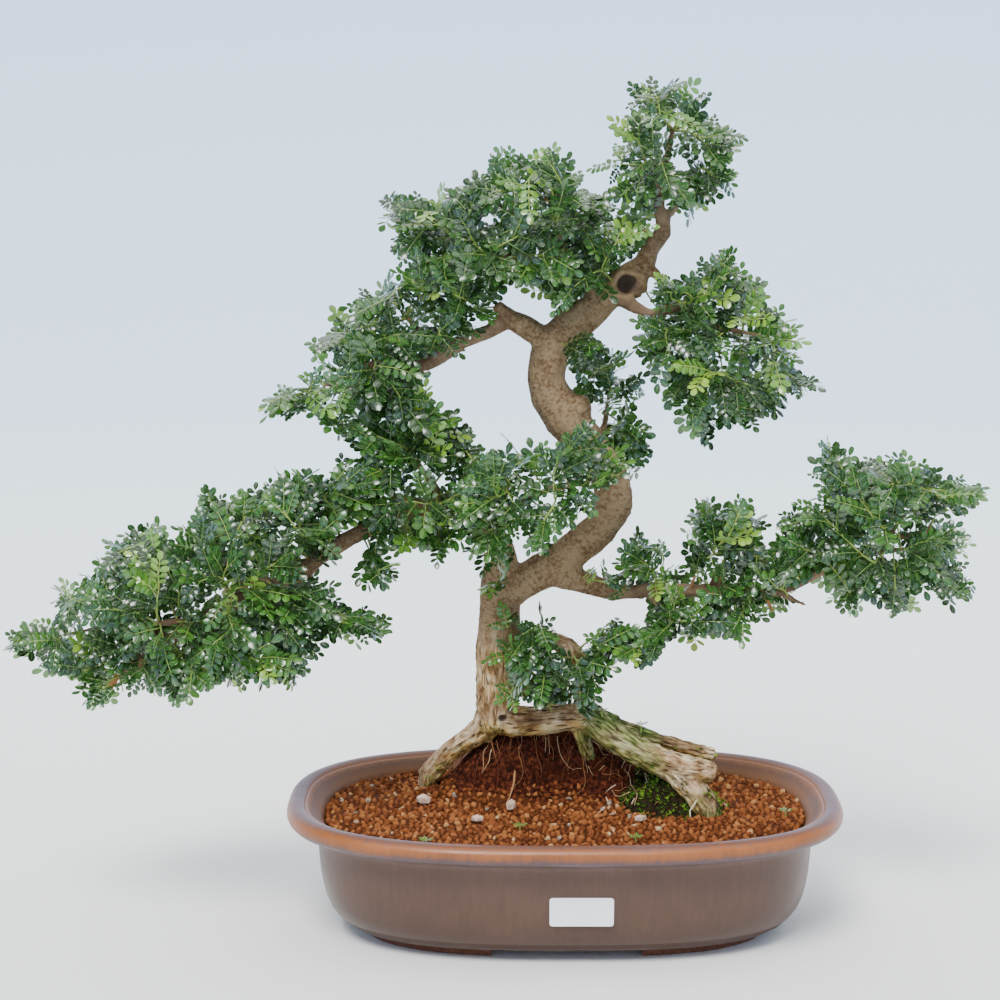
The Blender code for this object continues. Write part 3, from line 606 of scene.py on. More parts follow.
# The oval of damp earth that carries moss: (middle), (half width, half depth).
MOSS_SOIL = ((84, 2), (42, 44))
MOSS_EDGE, MOSS_RAGGED = 0.82, 0.3
MAT_EDGE = 0.4  # grains end where the root ball's bell rises past this
soil_tree = BVHTree.FromPolygons(
    [v.co for v in NODES["soil"].data.vertices], [p.vertices for p in NODES["soil"].data.polygons],
)
soil_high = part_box("soil")[1]
LEVEL = 88.0


def bell(x, y, place, spread):
    """1 at the middle of a mound, falling off like a bell with a flat top."""
    away = (((x - place[0]) / spread[0]) ** 2 + ((y - place[1]) / spread[1]) ** 2) / 2
    return math.exp(-(away**MOUND_STEEPNESS))


def soil_top(point):
    """The height of the CAD soil under a point in the frame."""
    hit = soil_tree.ray_cast(Vector((point.x, point.y, soil_high.z + 0.01)), Vector((0, 0, -1)))[0]
    if hit is None or hit.z < (LEVEL - 6) * MM:
        x, y = (point - POT).xy / MM
        return (LEVEL + sum(rise * bell(x, y, *at) for *at, rise in (ROOT_BALL, MOSS_HUMP))) * MM
    return hit.z


def soil_grid():
    """The drop grid with a field that says where grains may lie."""
    points, bare = [], []
    sides = SOIL_SIDES
    (moss_x, moss_y), (moss_wide, moss_deep) = MOSS_SOIL
    for share in SOIL_SHARES:
        for p in oval(SOIL_EDGE, 0, share, sides):
            p.z = soil_top(p)
            x, y = (p - POT).xy / MM
            points.append(p)
            in_moss = math.hypot((x - moss_x) / moss_wide, (y - moss_y) / moss_deep)
            in_moss += MOSS_RAGGED * noise.noise(Vector((x, y, 1)) / 14)
            taken = bell(x, y, *ROOT_BALL[:2]) > MAT_EDGE or in_moss < MOSS_EDGE
            bare.append(0.0 if taken else 1.0)
    faces = [tuple(range(sides))[::-1]]
    for k in range(len(SOIL_SHARES) - 1):
        for i in range(sides):
            j = (i + 1) % sides
            low, high = k * sides, (k + 1) * sides
            faces.append((low + i, high + i, high + j, low + j))
    mesh = mesh_of("soil_grid", points, faces)
    if sum(p.normal.z for p in mesh.polygons) < 0:
        mesh.flip_normals()
    put_attribute(mesh, "loose", "FLOAT", bare)
    return mesh


SOIL_GRID = soil_grid()
print("soil grid:", len(SOIL_GRID.vertices), "points")

# %% [markdown]
# ### Grain shapes and the scatter tree
# A grain is the hull of a few random points, shaded smooth: that gives the blunt, rounded lumps of
# crushed clay with about twenty faces. The tree spaces points so that grains touch, turns each one
# at random and gives it a tone of its own.


# %% Grains
def hull_shape(name, draw, count, flat):
    """A lump about 2 units across: the hull of random points near a flattened ball."""
    bm = bmesh.new()
    for _ in range(count):
        point = Vector([draw.gauss(0, 1) for _ in range(3)]).normalized() * draw.uniform(0.8, 1.08)
        bm.verts.new(Vector((point.x, point.y * draw.uniform(0.8, 1), point.z * flat)))
    hull = bmesh.ops.convex_hull(bm, input=bm.verts)
    spare = {g for g in hull["geom_interior"] + hull["geom_unused"] if isinstance(g, bmesh.types.BMVert)}
    bmesh.ops.delete(bm, geom=list(spare), context="VERTS")
    bmesh.ops.recalc_face_normals(bm, faces=bm.faces)
    mesh = bpy.data.meshes.new(name)
    bm.to_mesh(mesh)
    bm.free()
    mesh.shade_smooth()
    return mesh


def scatter_tree():
    """Copies of the shapes in a collection over a surface, each turned, sized and toned at random."""
    tree, given, out = new_tree("scatter", (
        ("Shapes", "Collection", None), ("Finish", "Material", None), ("Spacing", "Float", 0.004),
        ("Smallest", "Float", 0.002), ("Largest", "Float", 0.003), ("Lift", "Float", 0.0),
        ("Upright", "Float", 0.0), ("Seed", "Int", 1),
    ))
    where = add(tree, "GeometryNodeInputNamedAttribute", {"Name": "loose"}, data_type="FLOAT")
    spread = add(tree, "GeometryNodeDistributePointsOnFaces", {
        "Mesh": given["Geometry"], "Distance Min": given["Spacing"], "Density Max": 250000.0,
        "Density Factor": where.outputs["Attribute"], "Seed": given["Seed"],
    }, distribute_method="POISSON")
    turn = add(tree, "FunctionNodeRandomValue", {"Max": (6.283, 6.283, 6.283), "Seed": given["Seed"]},
               data_type="FLOAT_VECTOR").outputs["Value"]
    yaw = add(tree, "FunctionNodeRandomValue", {"Min": (-0.45, -0.45, 0.0), "Max": (0.45, 0.45, 6.283)},
              data_type="FLOAT_VECTOR").outputs["Value"]
    facing = add(tree, "ShaderNodeMix", {0: given["Upright"], 4: turn, 5: yaw}, data_type="VECTOR")
    size = add(tree, "FunctionNodeRandomValue", {2: given["Smallest"], 3: given["Largest"], 8: 5},
               data_type="FLOAT").outputs[1]
    copies = add(tree, "GeometryNodeInstanceOnPoints", {
        "Points": spread.outputs["Points"], "Pick Instance": True, "Rotation": facing.outputs[1],
        "Scale": size,
    })
    shapes = add(tree, "GeometryNodeCollectionInfo", {
        "Collection": given["Shapes"], "Separate Children": True, "Reset Children": True,
    })
    tree.links.new(shapes.outputs[0], copies.inputs["Instance"])
    tone = add(tree, "FunctionNodeRandomValue", {8: 11}, data_type="FLOAT").outputs[1]
    toned = add(tree, "GeometryNodeStoreNamedAttribute", {
        "Geometry": copies.outputs[0], "Name": "tone", "Value": tone,
    }, data_type="FLOAT", domain="INSTANCE")
    rise = add(tree, "ShaderNodeCombineXYZ", {"Z": given["Lift"]}).outputs[0]
    lifted = add(tree, "GeometryNodeTranslateInstances", {
        "Instances": toned.outputs[0], "Translation": rise, "Local Space": False,
    })
    real = add(tree, "GeometryNodeRealizeInstances", {"Geometry": lifted.outputs[0]})
    finished = add(tree, "GeometryNodeSetMaterial", {
        "Geometry": real.outputs[0], "Material": given["Finish"],
    })
    tree.links.new(finished.outputs[0], out["Geometry"])
    return tree


def toned_material(name, roughness, stops, scale, strength, distance):
    """A finish whose colour comes from each copy's own tone, mottled by noise."""
    material, tree, shader, place = new_material(name, roughness, Specular_IOR_Level=0.2)
    tone = add(tree, "ShaderNodeAttribute", attribute_name="tone").outputs["Fac"]
    grain = add(tree, "ShaderNodeTexNoise", {"Vector": place, "Scale": scale, "Detail": 3}).outputs[0]
    shift = add(tree, "ShaderNodeMath", {0: grain, 1: 0.12, 2: -0.06}, operation="MULTIPLY_ADD")
    mixed = add(tree, "ShaderNodeMath", {0: tone, 1: shift.outputs[0]}, operation="ADD").outputs[0]
    ramp = add(tree, "ShaderNodeValToRGB", {0: mixed}, stops=stops)
    tree.links.new(ramp.outputs[0], shader.inputs["Base Color"])
    bump = add(tree, "ShaderNodeBump", {"Strength": strength, "Distance": distance, "Height": grain})
    tree.links.new(bump.outputs[0], shader.inputs["Normal"])
    return material


# Baked clay: dull brown, dusty and porous, with a few tan, cream and grey grains; pores of 1.4 mm.
BAKED_CLAY = toned_material("baked_clay_granules", 0.92, (
    (0.0, "5C2E14"), (0.3, "743F1D"), (0.6, "864C25"), (0.9, "985D31"), (0.965, "AE7A48"),
    (0.985, "C8AA84"), (0.997, "6F6660"),
), 700, 0.6, 0.0005)
SCATTER = scatter_tree()
draw = random.Random(5)
grain_shapes = shapes_collection("grain", [hull_shape(f"grain_{i}", draw, 13, 0.8) for i in range(8)])
# A shape is 2 units across, so these scales give grains of 4 to 8 mm.
granules = run_tree("soil_granules", SOIL_GRID.copy(), SCATTER, {
    "Shapes": grain_shapes, "Finish": BAKED_CLAY, "Spacing": 4.3 * MM, "Smallest": 2.1 * MM,
    "Largest": 3.9 * MM, "Lift": 0.3 * MM, "Seed": 3,
})
drop_collection(grain_shapes)
show(granules, "baked_clay_soil")
# Damp clay between the grains: the same brown, darker because water fills its pores.
NODES["soil"].data.materials[0] = speckled(
    "damp_clay_bed", 0.95, 500, ((0.3, "3A1D0E"), (0.7, "5A3018")), 0.001, Specular_IOR_Level=0.1,
)

# %% [markdown]
# ## Bark
# The trunk is old wood with thin grey brown bark, smooth but mottled. Low down and on the roots it
# turns to yellowish cork that is split along the grain, green with algae on its damp side. The CAD
# trunk gives the form; it is remeshed finely and smoothed, then its skin is moved by patterns that
# follow each limb, so the splits run along the wood as they do on the tree.

# %% Centre lines of the limbs, which give the bark its grain: (x, y, z, radius)
TRUNK = (
    (-53, 25, 152, 15), (-52, 24, 176, 15.5), (-52, 22, 200, 17), (-50, 18, 233, 16.5),
    (-50, 15, 262, 15.5), (-50, 14, 285, 13.5), (-56, 12, 297, 12.5), (-63, 10, 311, 10),
)
MAIN_LIMB = (
    (-50, 16, 249, 15), (-36, 15, 261, 13.5), (-9, 14, 277, 14.5), (16, 12, 296, 14),
    (33, 10, 314, 14.5), (37, 8, 332, 15.5), (27, 8, 358, 14), (13, 10, 376, 15.5),
    (-2, 12, 395, 17), (-12, 12, 410, 16), (-15, 12, 426, 14.5), (-10, 12, 445, 15),
    (1, 14, 458, 15), (19, 15, 472, 13), (32, 15, 484, 12), (48, 15, 497, 13),
    (59, 14, 508, 9), (64, 12, 519, 7.5), (71, 10, 529, 7), (74, 9, 537, 6.5),
    (71, 8, 548, 5.5), (70, 6, 560, 4.5), (73, 4, 578, 4), (77, 2, 597, 3.2), (80, 0, 612, 2.8),
)
LEFT_BRANCH = (
    (-63, 10, 311, 10), (-76, 6, 322, 8.5), (-96, 0, 325, 7), (-114, -4, 324, 7),
    (-130, -8, 317, 7.5), (-148, -12, 310, 7), (-167, -16, 301, 7), (-188, -20, 288, 7),
    (-201, -24, 276, 7), (-227, -28, 265, 7), (-254, -32, 254, 6.5), (-280, -36, 241, 6),
    (-297, -38, 231, 6), (-315, -40, 218, 5.5), (-338, -42, 201, 4.8),
)
RIGHT_BRANCH = (
    (-12, 14, 272, 11), (2, 13, 268, 10.5), (24, 12, 261, 8.5), (37, 10, 257, 7), (54, 8, 257, 6),
    (73, 4, 261, 6), (96, 0, 260, 5.5), (119, -4, 261, 5), (149, -8, 260, 4.5),
    (168, -10, 263, 4.5), (190, -12, 274, 4.2), (213, -14, 287, 4), (235, -16, 298, 3.5),
    (257, -18, 305, 3), (276, -20, 309, 2.8),
)
UPPER_BRANCHES = (
    ((-8, 12, 444, 11), (-20, 9, 454, 9.5), (-33, 6, 463, 9), (-45, 3, 467, 7.5), (-57, 0, 459, 6),
     (-72, -4, 454, 6.5), (-89, -8, 445, 6.5), (-99, -10, 438, 6), (-114, -14, 432, 5.5),
     (-127, -18, 433, 4), (-146, -22, 436, 3.2), (-168, -24, 426, 2.8), (-188, -26, 416, 2.6)),
    ((36, 14, 488, 9), (45, 5, 481, 6), (53, 0, 477, 4.8), (62, -4, 473, 4.2), (74, -8, 474, 4),
     (86, -11, 478, 4), (97, -14, 473, 3.5), (108, -16, 458, 3), (114, -18, 444, 2.8)),
    ((28, 15, 482, 9), (16, 18, 497, 6.5), (4, 20, 511, 6), (-9, 21, 524, 6), (-23, 20, 537, 5),
     (-38, 18, 548, 3.5), (-52, 16, 554, 2.8)),
)
ROOTS = (
    ((-52, 26, 168, 15), (-60, 28, 148, 12), (-73, 34, 135, 9.5), (-88, 42, 123, 8.5),
     (-98, 47, 112, 8.5), (-106, 50, 102, 8), (-108, 52, 92, 7.5), (-108, 52, 70, 7)),
    ((-54, 25, 160, 15), (-46, 24, 153, 13), (-34, 22, 151, 12.5), (-11, 18, 154, 11),
     (9, 14, 157, 11), (19, 12, 157, 11.5), (38, 2, 144, 11.5), (66, -10, 131, 11),
     (92, -18, 124, 11), (108, -21, 123, 9.5), (116, -22, 122, 7)),
    ((80, -14, 126, 10), (92, -19, 114, 10.5), (103, -23.5, 103, 10.5), (110, -26, 93, 10),
     (113, -27, 70, 8.5)),
    ((24, 12, 156, 10), (40, 14, 150, 7), (59, 14, 143, 6), (95, 10, 133, 6), (118, 7, 128, 5.5)),
    ((-44, 20, 218, 9), (-28, 18, 218, 7), (-12, 16, 218, 7), (4, 12, 212, 8.5),
     (15, 10, 194, 8.5), (15, 10, 174, 8.5), (17, 12, 158, 9)),
    ((-46, 30, 180, 8), (-26, 40, 172, 5.5), (-12, 38, 165, 5.5), (2, 26, 158, 6)),
    ((12, 14, 154, 8), (15, 19, 136, 6.5), (19, 25, 125, 5.8), (20, 26, 114, 5.2), (20, 26, 78, 4)),
)
LIMBS = (TRUNK, MAIN_LIMB, LEFT_BRANCH, RIGHT_BRANCH, *UPPER_BRANCHES, *ROOTS)
FIRST_ROOT = len(LIMBS) - len(ROOTS)


def stations_of(limbs, step=4.0):
    """Stations along every limb: place, radius, distance from its start, direction and two
    directions across it that turn as little as possible."""
    rows = []
    for number, chain in enumerate(limbs):
        points = [Vector(p[:3]) for p in chain]
        side = None
        travelled = 0.0
        for k in range(len(points) - 1):
            run = points[k + 1] - points[k]
            along = run.normalized()
            side = along.orthogonal() if side is None else side - along * side.dot(along)
            side.normalize()
            across = along.cross(side)
            count = max(1, round(run.length / step))
            for i in range(count):
                share = i / count
                radius = chain[k][3] * (1 - share) + chain[k + 1][3] * share
                at = points[k] + run * share
                here = (*at, radius, travelled + run.length * share)
                rows.append((*here, *along, *side, *across, number))
            travelled += run.length
    return np.array(rows)


STATIONS = stations_of(LIMBS)
print("limbs:", len(LIMBS), "stations:", len(STATIONS))


# %% Skin of the trunk at full detail
def voxel_skin(node, voxel, smoothing):
    """A fine, even skin over a CAD node."""
    obj = object_of("skin", merged_copy(node))
    remesh = obj.modifiers.new("remesh", "REMESH")
    remesh.mode = "VOXEL"
    remesh.voxel_size = voxel * MM
    remesh.use_smooth_shade = True
    smooth = obj.modifiers.new("smooth", "SMOOTH")
    smooth.factor = 0.5
    smooth.iterations = smoothing
    mesh = plain_mesh(obj)
    bpy.data.objects.remove(obj)
    return mesh


def nearest_stations(points):
    """For each point the station whose limb it lies on: distance is measured in limb radii."""
    chosen = np.empty(len(points), int)
    block = 4000  # points at a time, to spare memory
    for start in range(0, len(points), block):
        some = points[start : start + block]
        gap = np.linalg.norm(some[:, None, :] - STATIONS[None, :, :3], axis=2)
        chosen[start : start + block] = np.argmin(gap / (STATIONS[None, :, 3] + 1.0), axis=1)
    return STATIONS[chosen]


def smoothstep(low, high, value):
    share = np.clip((value - low) / (high - low), 0, 1)
    return share * share * (3 - 2 * share)


def noise_at(points, scale, offset=0.0):
    """Perlin noise at many points; scale is in millimetres a lump."""
    return np.array([noise.noise(Vector(p) / scale + Vector((offset, 0, 0))) for p in points])


BARK_VOXEL = 1.5
BARK_SMOOTHING = 7
bark = voxel_skin("trunk", BARK_VOXEL, BARK_SMOOTHING)
count = len(bark.vertices)
co = np.empty(count * 3)
bark.vertices.foreach_get("co", co)
co = co.reshape(-1, 3)
normals = np.empty(count * 3)
bark.vertices.foreach_get("normal", normals)
normals = normals.reshape(-1, 3)
local = (co - np.array(POT)) / MM
near = nearest_stations(local)
offset = local - near[:, :3]
along = near[:, 4] + np.sum(offset * near[:, 5:8], axis=1) + 400 * near[:, 14]
across = [np.sum(offset * near[:, k : k + 3], axis=1) for k in (8, 11)]
grain = np.stack([along, *across], axis=1)
print("bark skin:", count, "points,", triangles(bark), "triangles")

# %% [markdown]
# ### Relief of the bark
# Three scales of relief are laid on the skin: swellings as wide as a thumb, wrinkles, and, on the
# cork, ridges that are five times longer than wide. A few old pruning knobs are raised, and two
# rotted knots are sunk inside a raised lip, at their own places.


# %% Move the skin
is_root = near[:, 14] >= FIRST_ROOT
height = local[:, 2]
cork = np.where(is_root, 1.0, 1 - smoothstep(196, 236, height + 14 * noise_at(local, 30)))
cork = np.where(height > 240, 0, cork)
radius = near[:, 3]
thin = 1 - smoothstep(4.5, 9.0, radius)
thin = np.where(is_root, 0, thin)
swell = noise_at(local, 24) * 1.3 + noise_at(local, 11, 7) * 0.6
wrinkle = noise_at(grain / np.array([0.6, 2.2, 2.2]), 3.2, 3) * 0.26 + noise_at(local, 5, 15) * 0.22
streak = noise_at(grain / np.array([5.0, 1.0, 1.0]), 2.7, 5)
ridge = 1 - 2 * np.abs(streak)
split = smoothstep(0.55, 0.98, 1 - np.abs(noise_at(grain / np.array([4.0, 1.0, 1.0]), 4.2, 9)) * 2.2)
move = swell * np.clip(radius / 14, 0.15, 1) + wrinkle
move += cork * (ridge * 0.75 - split * 1.0 + noise_at(local, 6, 2) * 0.8)
KNOBS = (  # (middle), width, height
    ((19, 3, 403), 9, 2.2), ((46, 9, 322), 6, 1.2), ((-69, 12, 207), 7, 2.0),
    ((-70, 14, 166), 8, 2.2), ((-38, 12, 152), 5, 1.2), ((-134, -2, 318), 6, 1.6),
    ((27, 4, 150), 8, 1.6), ((-22, 4, 420), 9, 0.9),
)
for (x, y, z), wide, high in KNOBS:
    gap = np.linalg.norm(local - np.array((x, y, z)), axis=1)
    bulge = np.exp(-((gap / wide) ** 2))
    move += bulge * high * (1 + 0.8 * noise_at(local, 3.4, 4))
# (middle, size of the hole, depth, height of its lip at the left and at the right)
HOLLOWS = (((47, 3, 494), 8.6, 3.2, 1.7, 3.4), ((-48, 11, 157), 3.2, 2.4, 0.9, 0.9))
hollow = np.zeros(count)
lips = np.zeros(count)
for place, wide, deep, left_lip, right_lip in HOLLOWS:
    away = local - np.array(place)
    front = (normals[:, 1] < 0.15) & (np.abs(away[:, 1]) < 12)
    ring = (np.hypot(away[:, 0] / 1.15, away[:, 2] / 0.9) + 0.9 * noise_at(local, 5, 21)) / wide
    lip = np.where(front, np.exp(-(((ring - 1.2) / 0.27) ** 2)), 0)
    move += lip * np.where(away[:, 0] > 0, right_lip, left_lip) * (1 + 0.6 * noise_at(local, 4, 1))
    hole = np.where(front, 1 - smoothstep(0.55, 1.0, ring), 0)
    move -= hole * deep
    hollow = np.maximum(hollow, hole)
    lips = np.maximum(lips, lip)
co += normals * (move * MM)[:, None]
bark.vertices.foreach_set("co", co.ravel())
bark.update()
# Painted shade: the furrows between the cork ridges and the hollows of the wrinkles are darkened along
# with the real splits; the rotted places add real dark rot.
painted_furrow_shade = smoothstep(0.0, -0.7, ridge)
splits_rot_and_painted_shade = np.clip(cork * (split * 0.42 + painted_furrow_shade * 0.3) + smoothstep(0.1, -0.3, wrinkle) * 0.14, 0, 1)
wet = noise_at(local, 16, 12) * 0.9 + noise_at(local, 6, 13) * 0.4
on_right_root = smoothstep(4, 22, local[:, 0]) * (1 - smoothstep(56, 84, local[:, 0]))
under = smoothstep(0.1, -0.7, normals[:, 2])
damp_foot = smoothstep(84, 100, local[:, 0]) * (1 - smoothstep(98, 112, height))
algae = on_right_root * (1.35 + 0.9 * wet) + damp_foot * (0.5 + wet)
algae += (height < 150) * under * (0.1 + wet)
ROTTEN = (((113, -34, 110), 8.0), ((121, -27, 101), 7.0))
for place, wide in ROTTEN:
    damp = np.exp(-((np.linalg.norm(local - np.array(place), axis=1) / wide) ** 2))
    splits_rot_and_painted_shade = np.maximum(splits_rot_and_painted_shade, np.clip(1.5 * damp * (1 + noise_at(local, 4, 41)), 0, 0.95))
algae = cork * np.clip(algae, 0, 1)
straw = cork * np.clip(smoothstep(0.15, -0.5, normals[:, 2]) + 0.4 * noise_at(local, 12, 31), 0, 1)
# Sawn ends: (middle), radius.
SAWN = (((118, -22, 122), 6.5), ((-341, -42, 199), 5.5), ((120, 7, 127), 6), ((76, 4, 498), 5))
sawn = np.zeros(count)
for place, wide in SAWN:
    sawn = np.maximum(sawn, np.linalg.norm(local - np.array(place), axis=1) < wide)
put_attribute(bark, "grain", "FLOAT_VECTOR", grain * MM)
BARK_FACTS = {
    "cork": cork, "thin": thin, "splits_rot_and_painted_shade": splits_rot_and_painted_shade, "algae": algae, "hollow": hollow, "lips": 0.5 * lips,
    "sawn": sawn, "straw": straw,
}
for label, values in BARK_FACTS.items():
    put_attribute(bark, label, "FLOAT", values.astype(np.float32))
print("relief from", round(float(move.min()), 1), "to", round(float(move.max()), 1), "mm")

# %% [markdown]
# ### Colour of the bark
# Living bark, weathered: matt, grey brown with pale specks, darker stains and faint rings; the cork
# is tan above and straw below, with dark splits; thin branches are plain brown. The furrows between
# the cork ridges and the hollows of the wrinkles are darkened too, as painted shade. Noise scales
# are those of the real marks: 16 mm stains, 2.4 mm specks, splits 1.6 mm wide and 12 mm long.


# %% Bark material
def bark_material():
    material, tree, shader, place = new_material("weathered_bark", 0.9, Specular_IOR_Level=0.2)
    fact = {
        label: add(tree, "ShaderNodeAttribute", attribute_name=label).outputs["Fac"]
        for label in BARK_FACTS
    }
    limb = add(tree, "ShaderNodeAttribute", attribute_name="grain").outputs["Vector"]
    drawn = add(tree, "ShaderNodeMapping", {"Vector": limb, "Scale": (0.22, 1, 1)}).outputs[0]
    stains = add(tree, "ShaderNodeTexNoise", {"Vector": place, "Scale": 60, "Detail": 5}).outputs[0]
    specks = add(tree, "ShaderNodeTexNoise", {"Vector": place, "Scale": 420, "Detail": 3}).outputs[0]
    fibres = add(tree, "ShaderNodeTexNoise", {"Vector": drawn, "Scale": 480, "Detail": 4}).outputs[0]
    ringed = add(tree, "ShaderNodeMapping", {"Vector": limb, "Scale": (2.6, 0.6, 0.6)}).outputs[0]
    rings = add(tree, "ShaderNodeTexNoise", {"Vector": ringed, "Scale": 230, "Detail": 4}).outputs[0]
    bands = add(tree, "ShaderNodeMix", {0: 0.55, 2: rings, 3: stains}, data_type="FLOAT").outputs[0]
    mottle = add(tree, "ShaderNodeMath", {0: specks, 1: 0.7, 2: bands}, operation="MULTIPLY_ADD")
    smooth_bark = add(tree, "ShaderNodeValToRGB", {0: mottle.outputs[0]}, stops=(
        (0.52, "513A26"), (0.64, "634A33"), (0.76, "755B41"), (0.9, "927A5C"),
    )).outputs[0]
    corky = add(tree, "ShaderNodeMath", {0: fibres, 1: 0.6, 2: stains}, operation="MULTIPLY_ADD")
    tan_cork = add(tree, "ShaderNodeValToRGB", {0: corky.outputs[0]}, stops=(
        (0.62, "7A5C3E"), (0.74, "A58460"), (0.86, "C6AA86"), (0.98, "DCC8A8"),
    )).outputs[0]
    straw_cork = add(tree, "ShaderNodeValToRGB", {0: corky.outputs[0]}, stops=(
        (0.62, "7A5326"), (0.74, "AE8444"), (0.86, "D2AC68"), (0.98, "E6CF9A"),
    )).outputs[0]
    cork_bark = add(
        tree, "ShaderNodeMix", {0: fact["straw"], 6: tan_cork, 7: straw_cork}, data_type="RGBA",
    ).outputs[2]
    green = add(tree, "ShaderNodeValToRGB", {0: fibres}, stops=(
        (0.35, "34421A"), (0.5, "66803A"), (0.66, "92A45E"),
    )).outputs[0]
    broken = add(tree, "ShaderNodeMapRange", {
        0: corky.outputs[0], 1: 0.66, 2: 0.86, 3: 1.0, 4: 0.55,
    }).outputs[0]
    grown = add(tree, "ShaderNodeMath", {0: fact["algae"], 1: broken}, operation="MULTIPLY").outputs[0]
    hairline = add(tree, "ShaderNodeMapping", {"Vector": limb, "Scale": (0.13, 1, 1)}).outputs[0]
    splits = add(tree, "ShaderNodeTexNoise", {"Vector": hairline, "Scale": 620, "Detail": 2}).outputs[0]
    fissured = add(tree, "ShaderNodeMapRange", {0: splits, 1: 0.44, 2: 0.36, 3: 0.0, 4: 0.85})
    fissures = add(
        tree, "ShaderNodeMath", {0: fissured.outputs[0], 1: fact["cork"]}, operation="MULTIPLY",
    ).outputs[0]
    opened = add(
        tree, "ShaderNodeMath", {0: fact["hollow"], 1: 3.0}, operation="MULTIPLY", use_clamp=True,
    ).outputs[0]
    rotten = add(tree, "ShaderNodeValToRGB", {0: fact["hollow"]}, stops=(
        (0.2, "8A7058"), (0.6, "705C4A"), (1.0, "5A4A3E"),
    )).outputs[0]
    branch_bark = add(tree, "ShaderNodeValToRGB", {0: stains}, stops=(
        (0.35, "5C4636"), (0.65, "8C735A"),
    )).outputs[0]
    layers = (
        (fact["cork"], cork_bark), (fact["thin"], branch_bark), (grown, green),
        # The dark brown over real splits and rot, and painted shade in the furrows and wrinkle hollows.
        (fact["splits_rot_and_painted_shade"], "3E2814"), (fissures, "35220F"), (fact["lips"], "B4966F"), (opened, rotten),
        (fact["sawn"], "B98C62"),
    )
    colour = smooth_bark
    for share, over in layers:
        value = linear(over) if isinstance(over, str) else over
        colour = add(tree, "ShaderNodeMix", {0: share, 6: colour, 7: value}, data_type="RGBA").outputs[2]
    tree.links.new(colour, shader.inputs["Base Color"])
    relief = add(tree, "ShaderNodeMix", {0: fact["cork"], 2: specks, 3: fibres}, data_type="FLOAT")
    bump = add(tree, "ShaderNodeBump", {
        "Strength": 0.7, "Distance": 0.0009, "Height": relief.outputs[0],
    })
    tree.links.new(bump.outputs[0], shader.inputs["Normal"])
    return material


bark.materials.clear()
bark.materials.append(bark_material())
bark.shade_smooth()
show(object_of("bark_trunk", bark), "bark", "trunk")

# %% [markdown]
# ## Leaves
# The leaf is compound: a thin rib carries opposite pairs of oval leaflets, 8 to 9 mm long, and one
# at its end. Each leaflet is a thin closed lens, crowned above and flat below, so that the gloss
# of its upper face breaks softly. Eight leaves with two to five pairs are enough, because every
# copy is turned, sized and toned for itself.

# %% Leaf shapes
BLADE = ((0.2, 0.30), (0.54, 0.5), (0.86, 0.36))  # (share of the length, half width as a share)
LEAFLET_LENGTH = 8.8
LEAFLET_WIDTH = 5.9
FIRST_PAIR = 6.5
PAIR_STEP = 6.0
LAST_STEP = 3.4
SPREAD_ANGLE = 62
LEAF_PAIRS = (2, 3, 3, 4, 4, 4, 5, 5)


def leaf_length(pairs):
    return FIRST_PAIR + PAIR_STEP * (pairs - 1) + LAST_STEP + LEAFLET_LENGTH


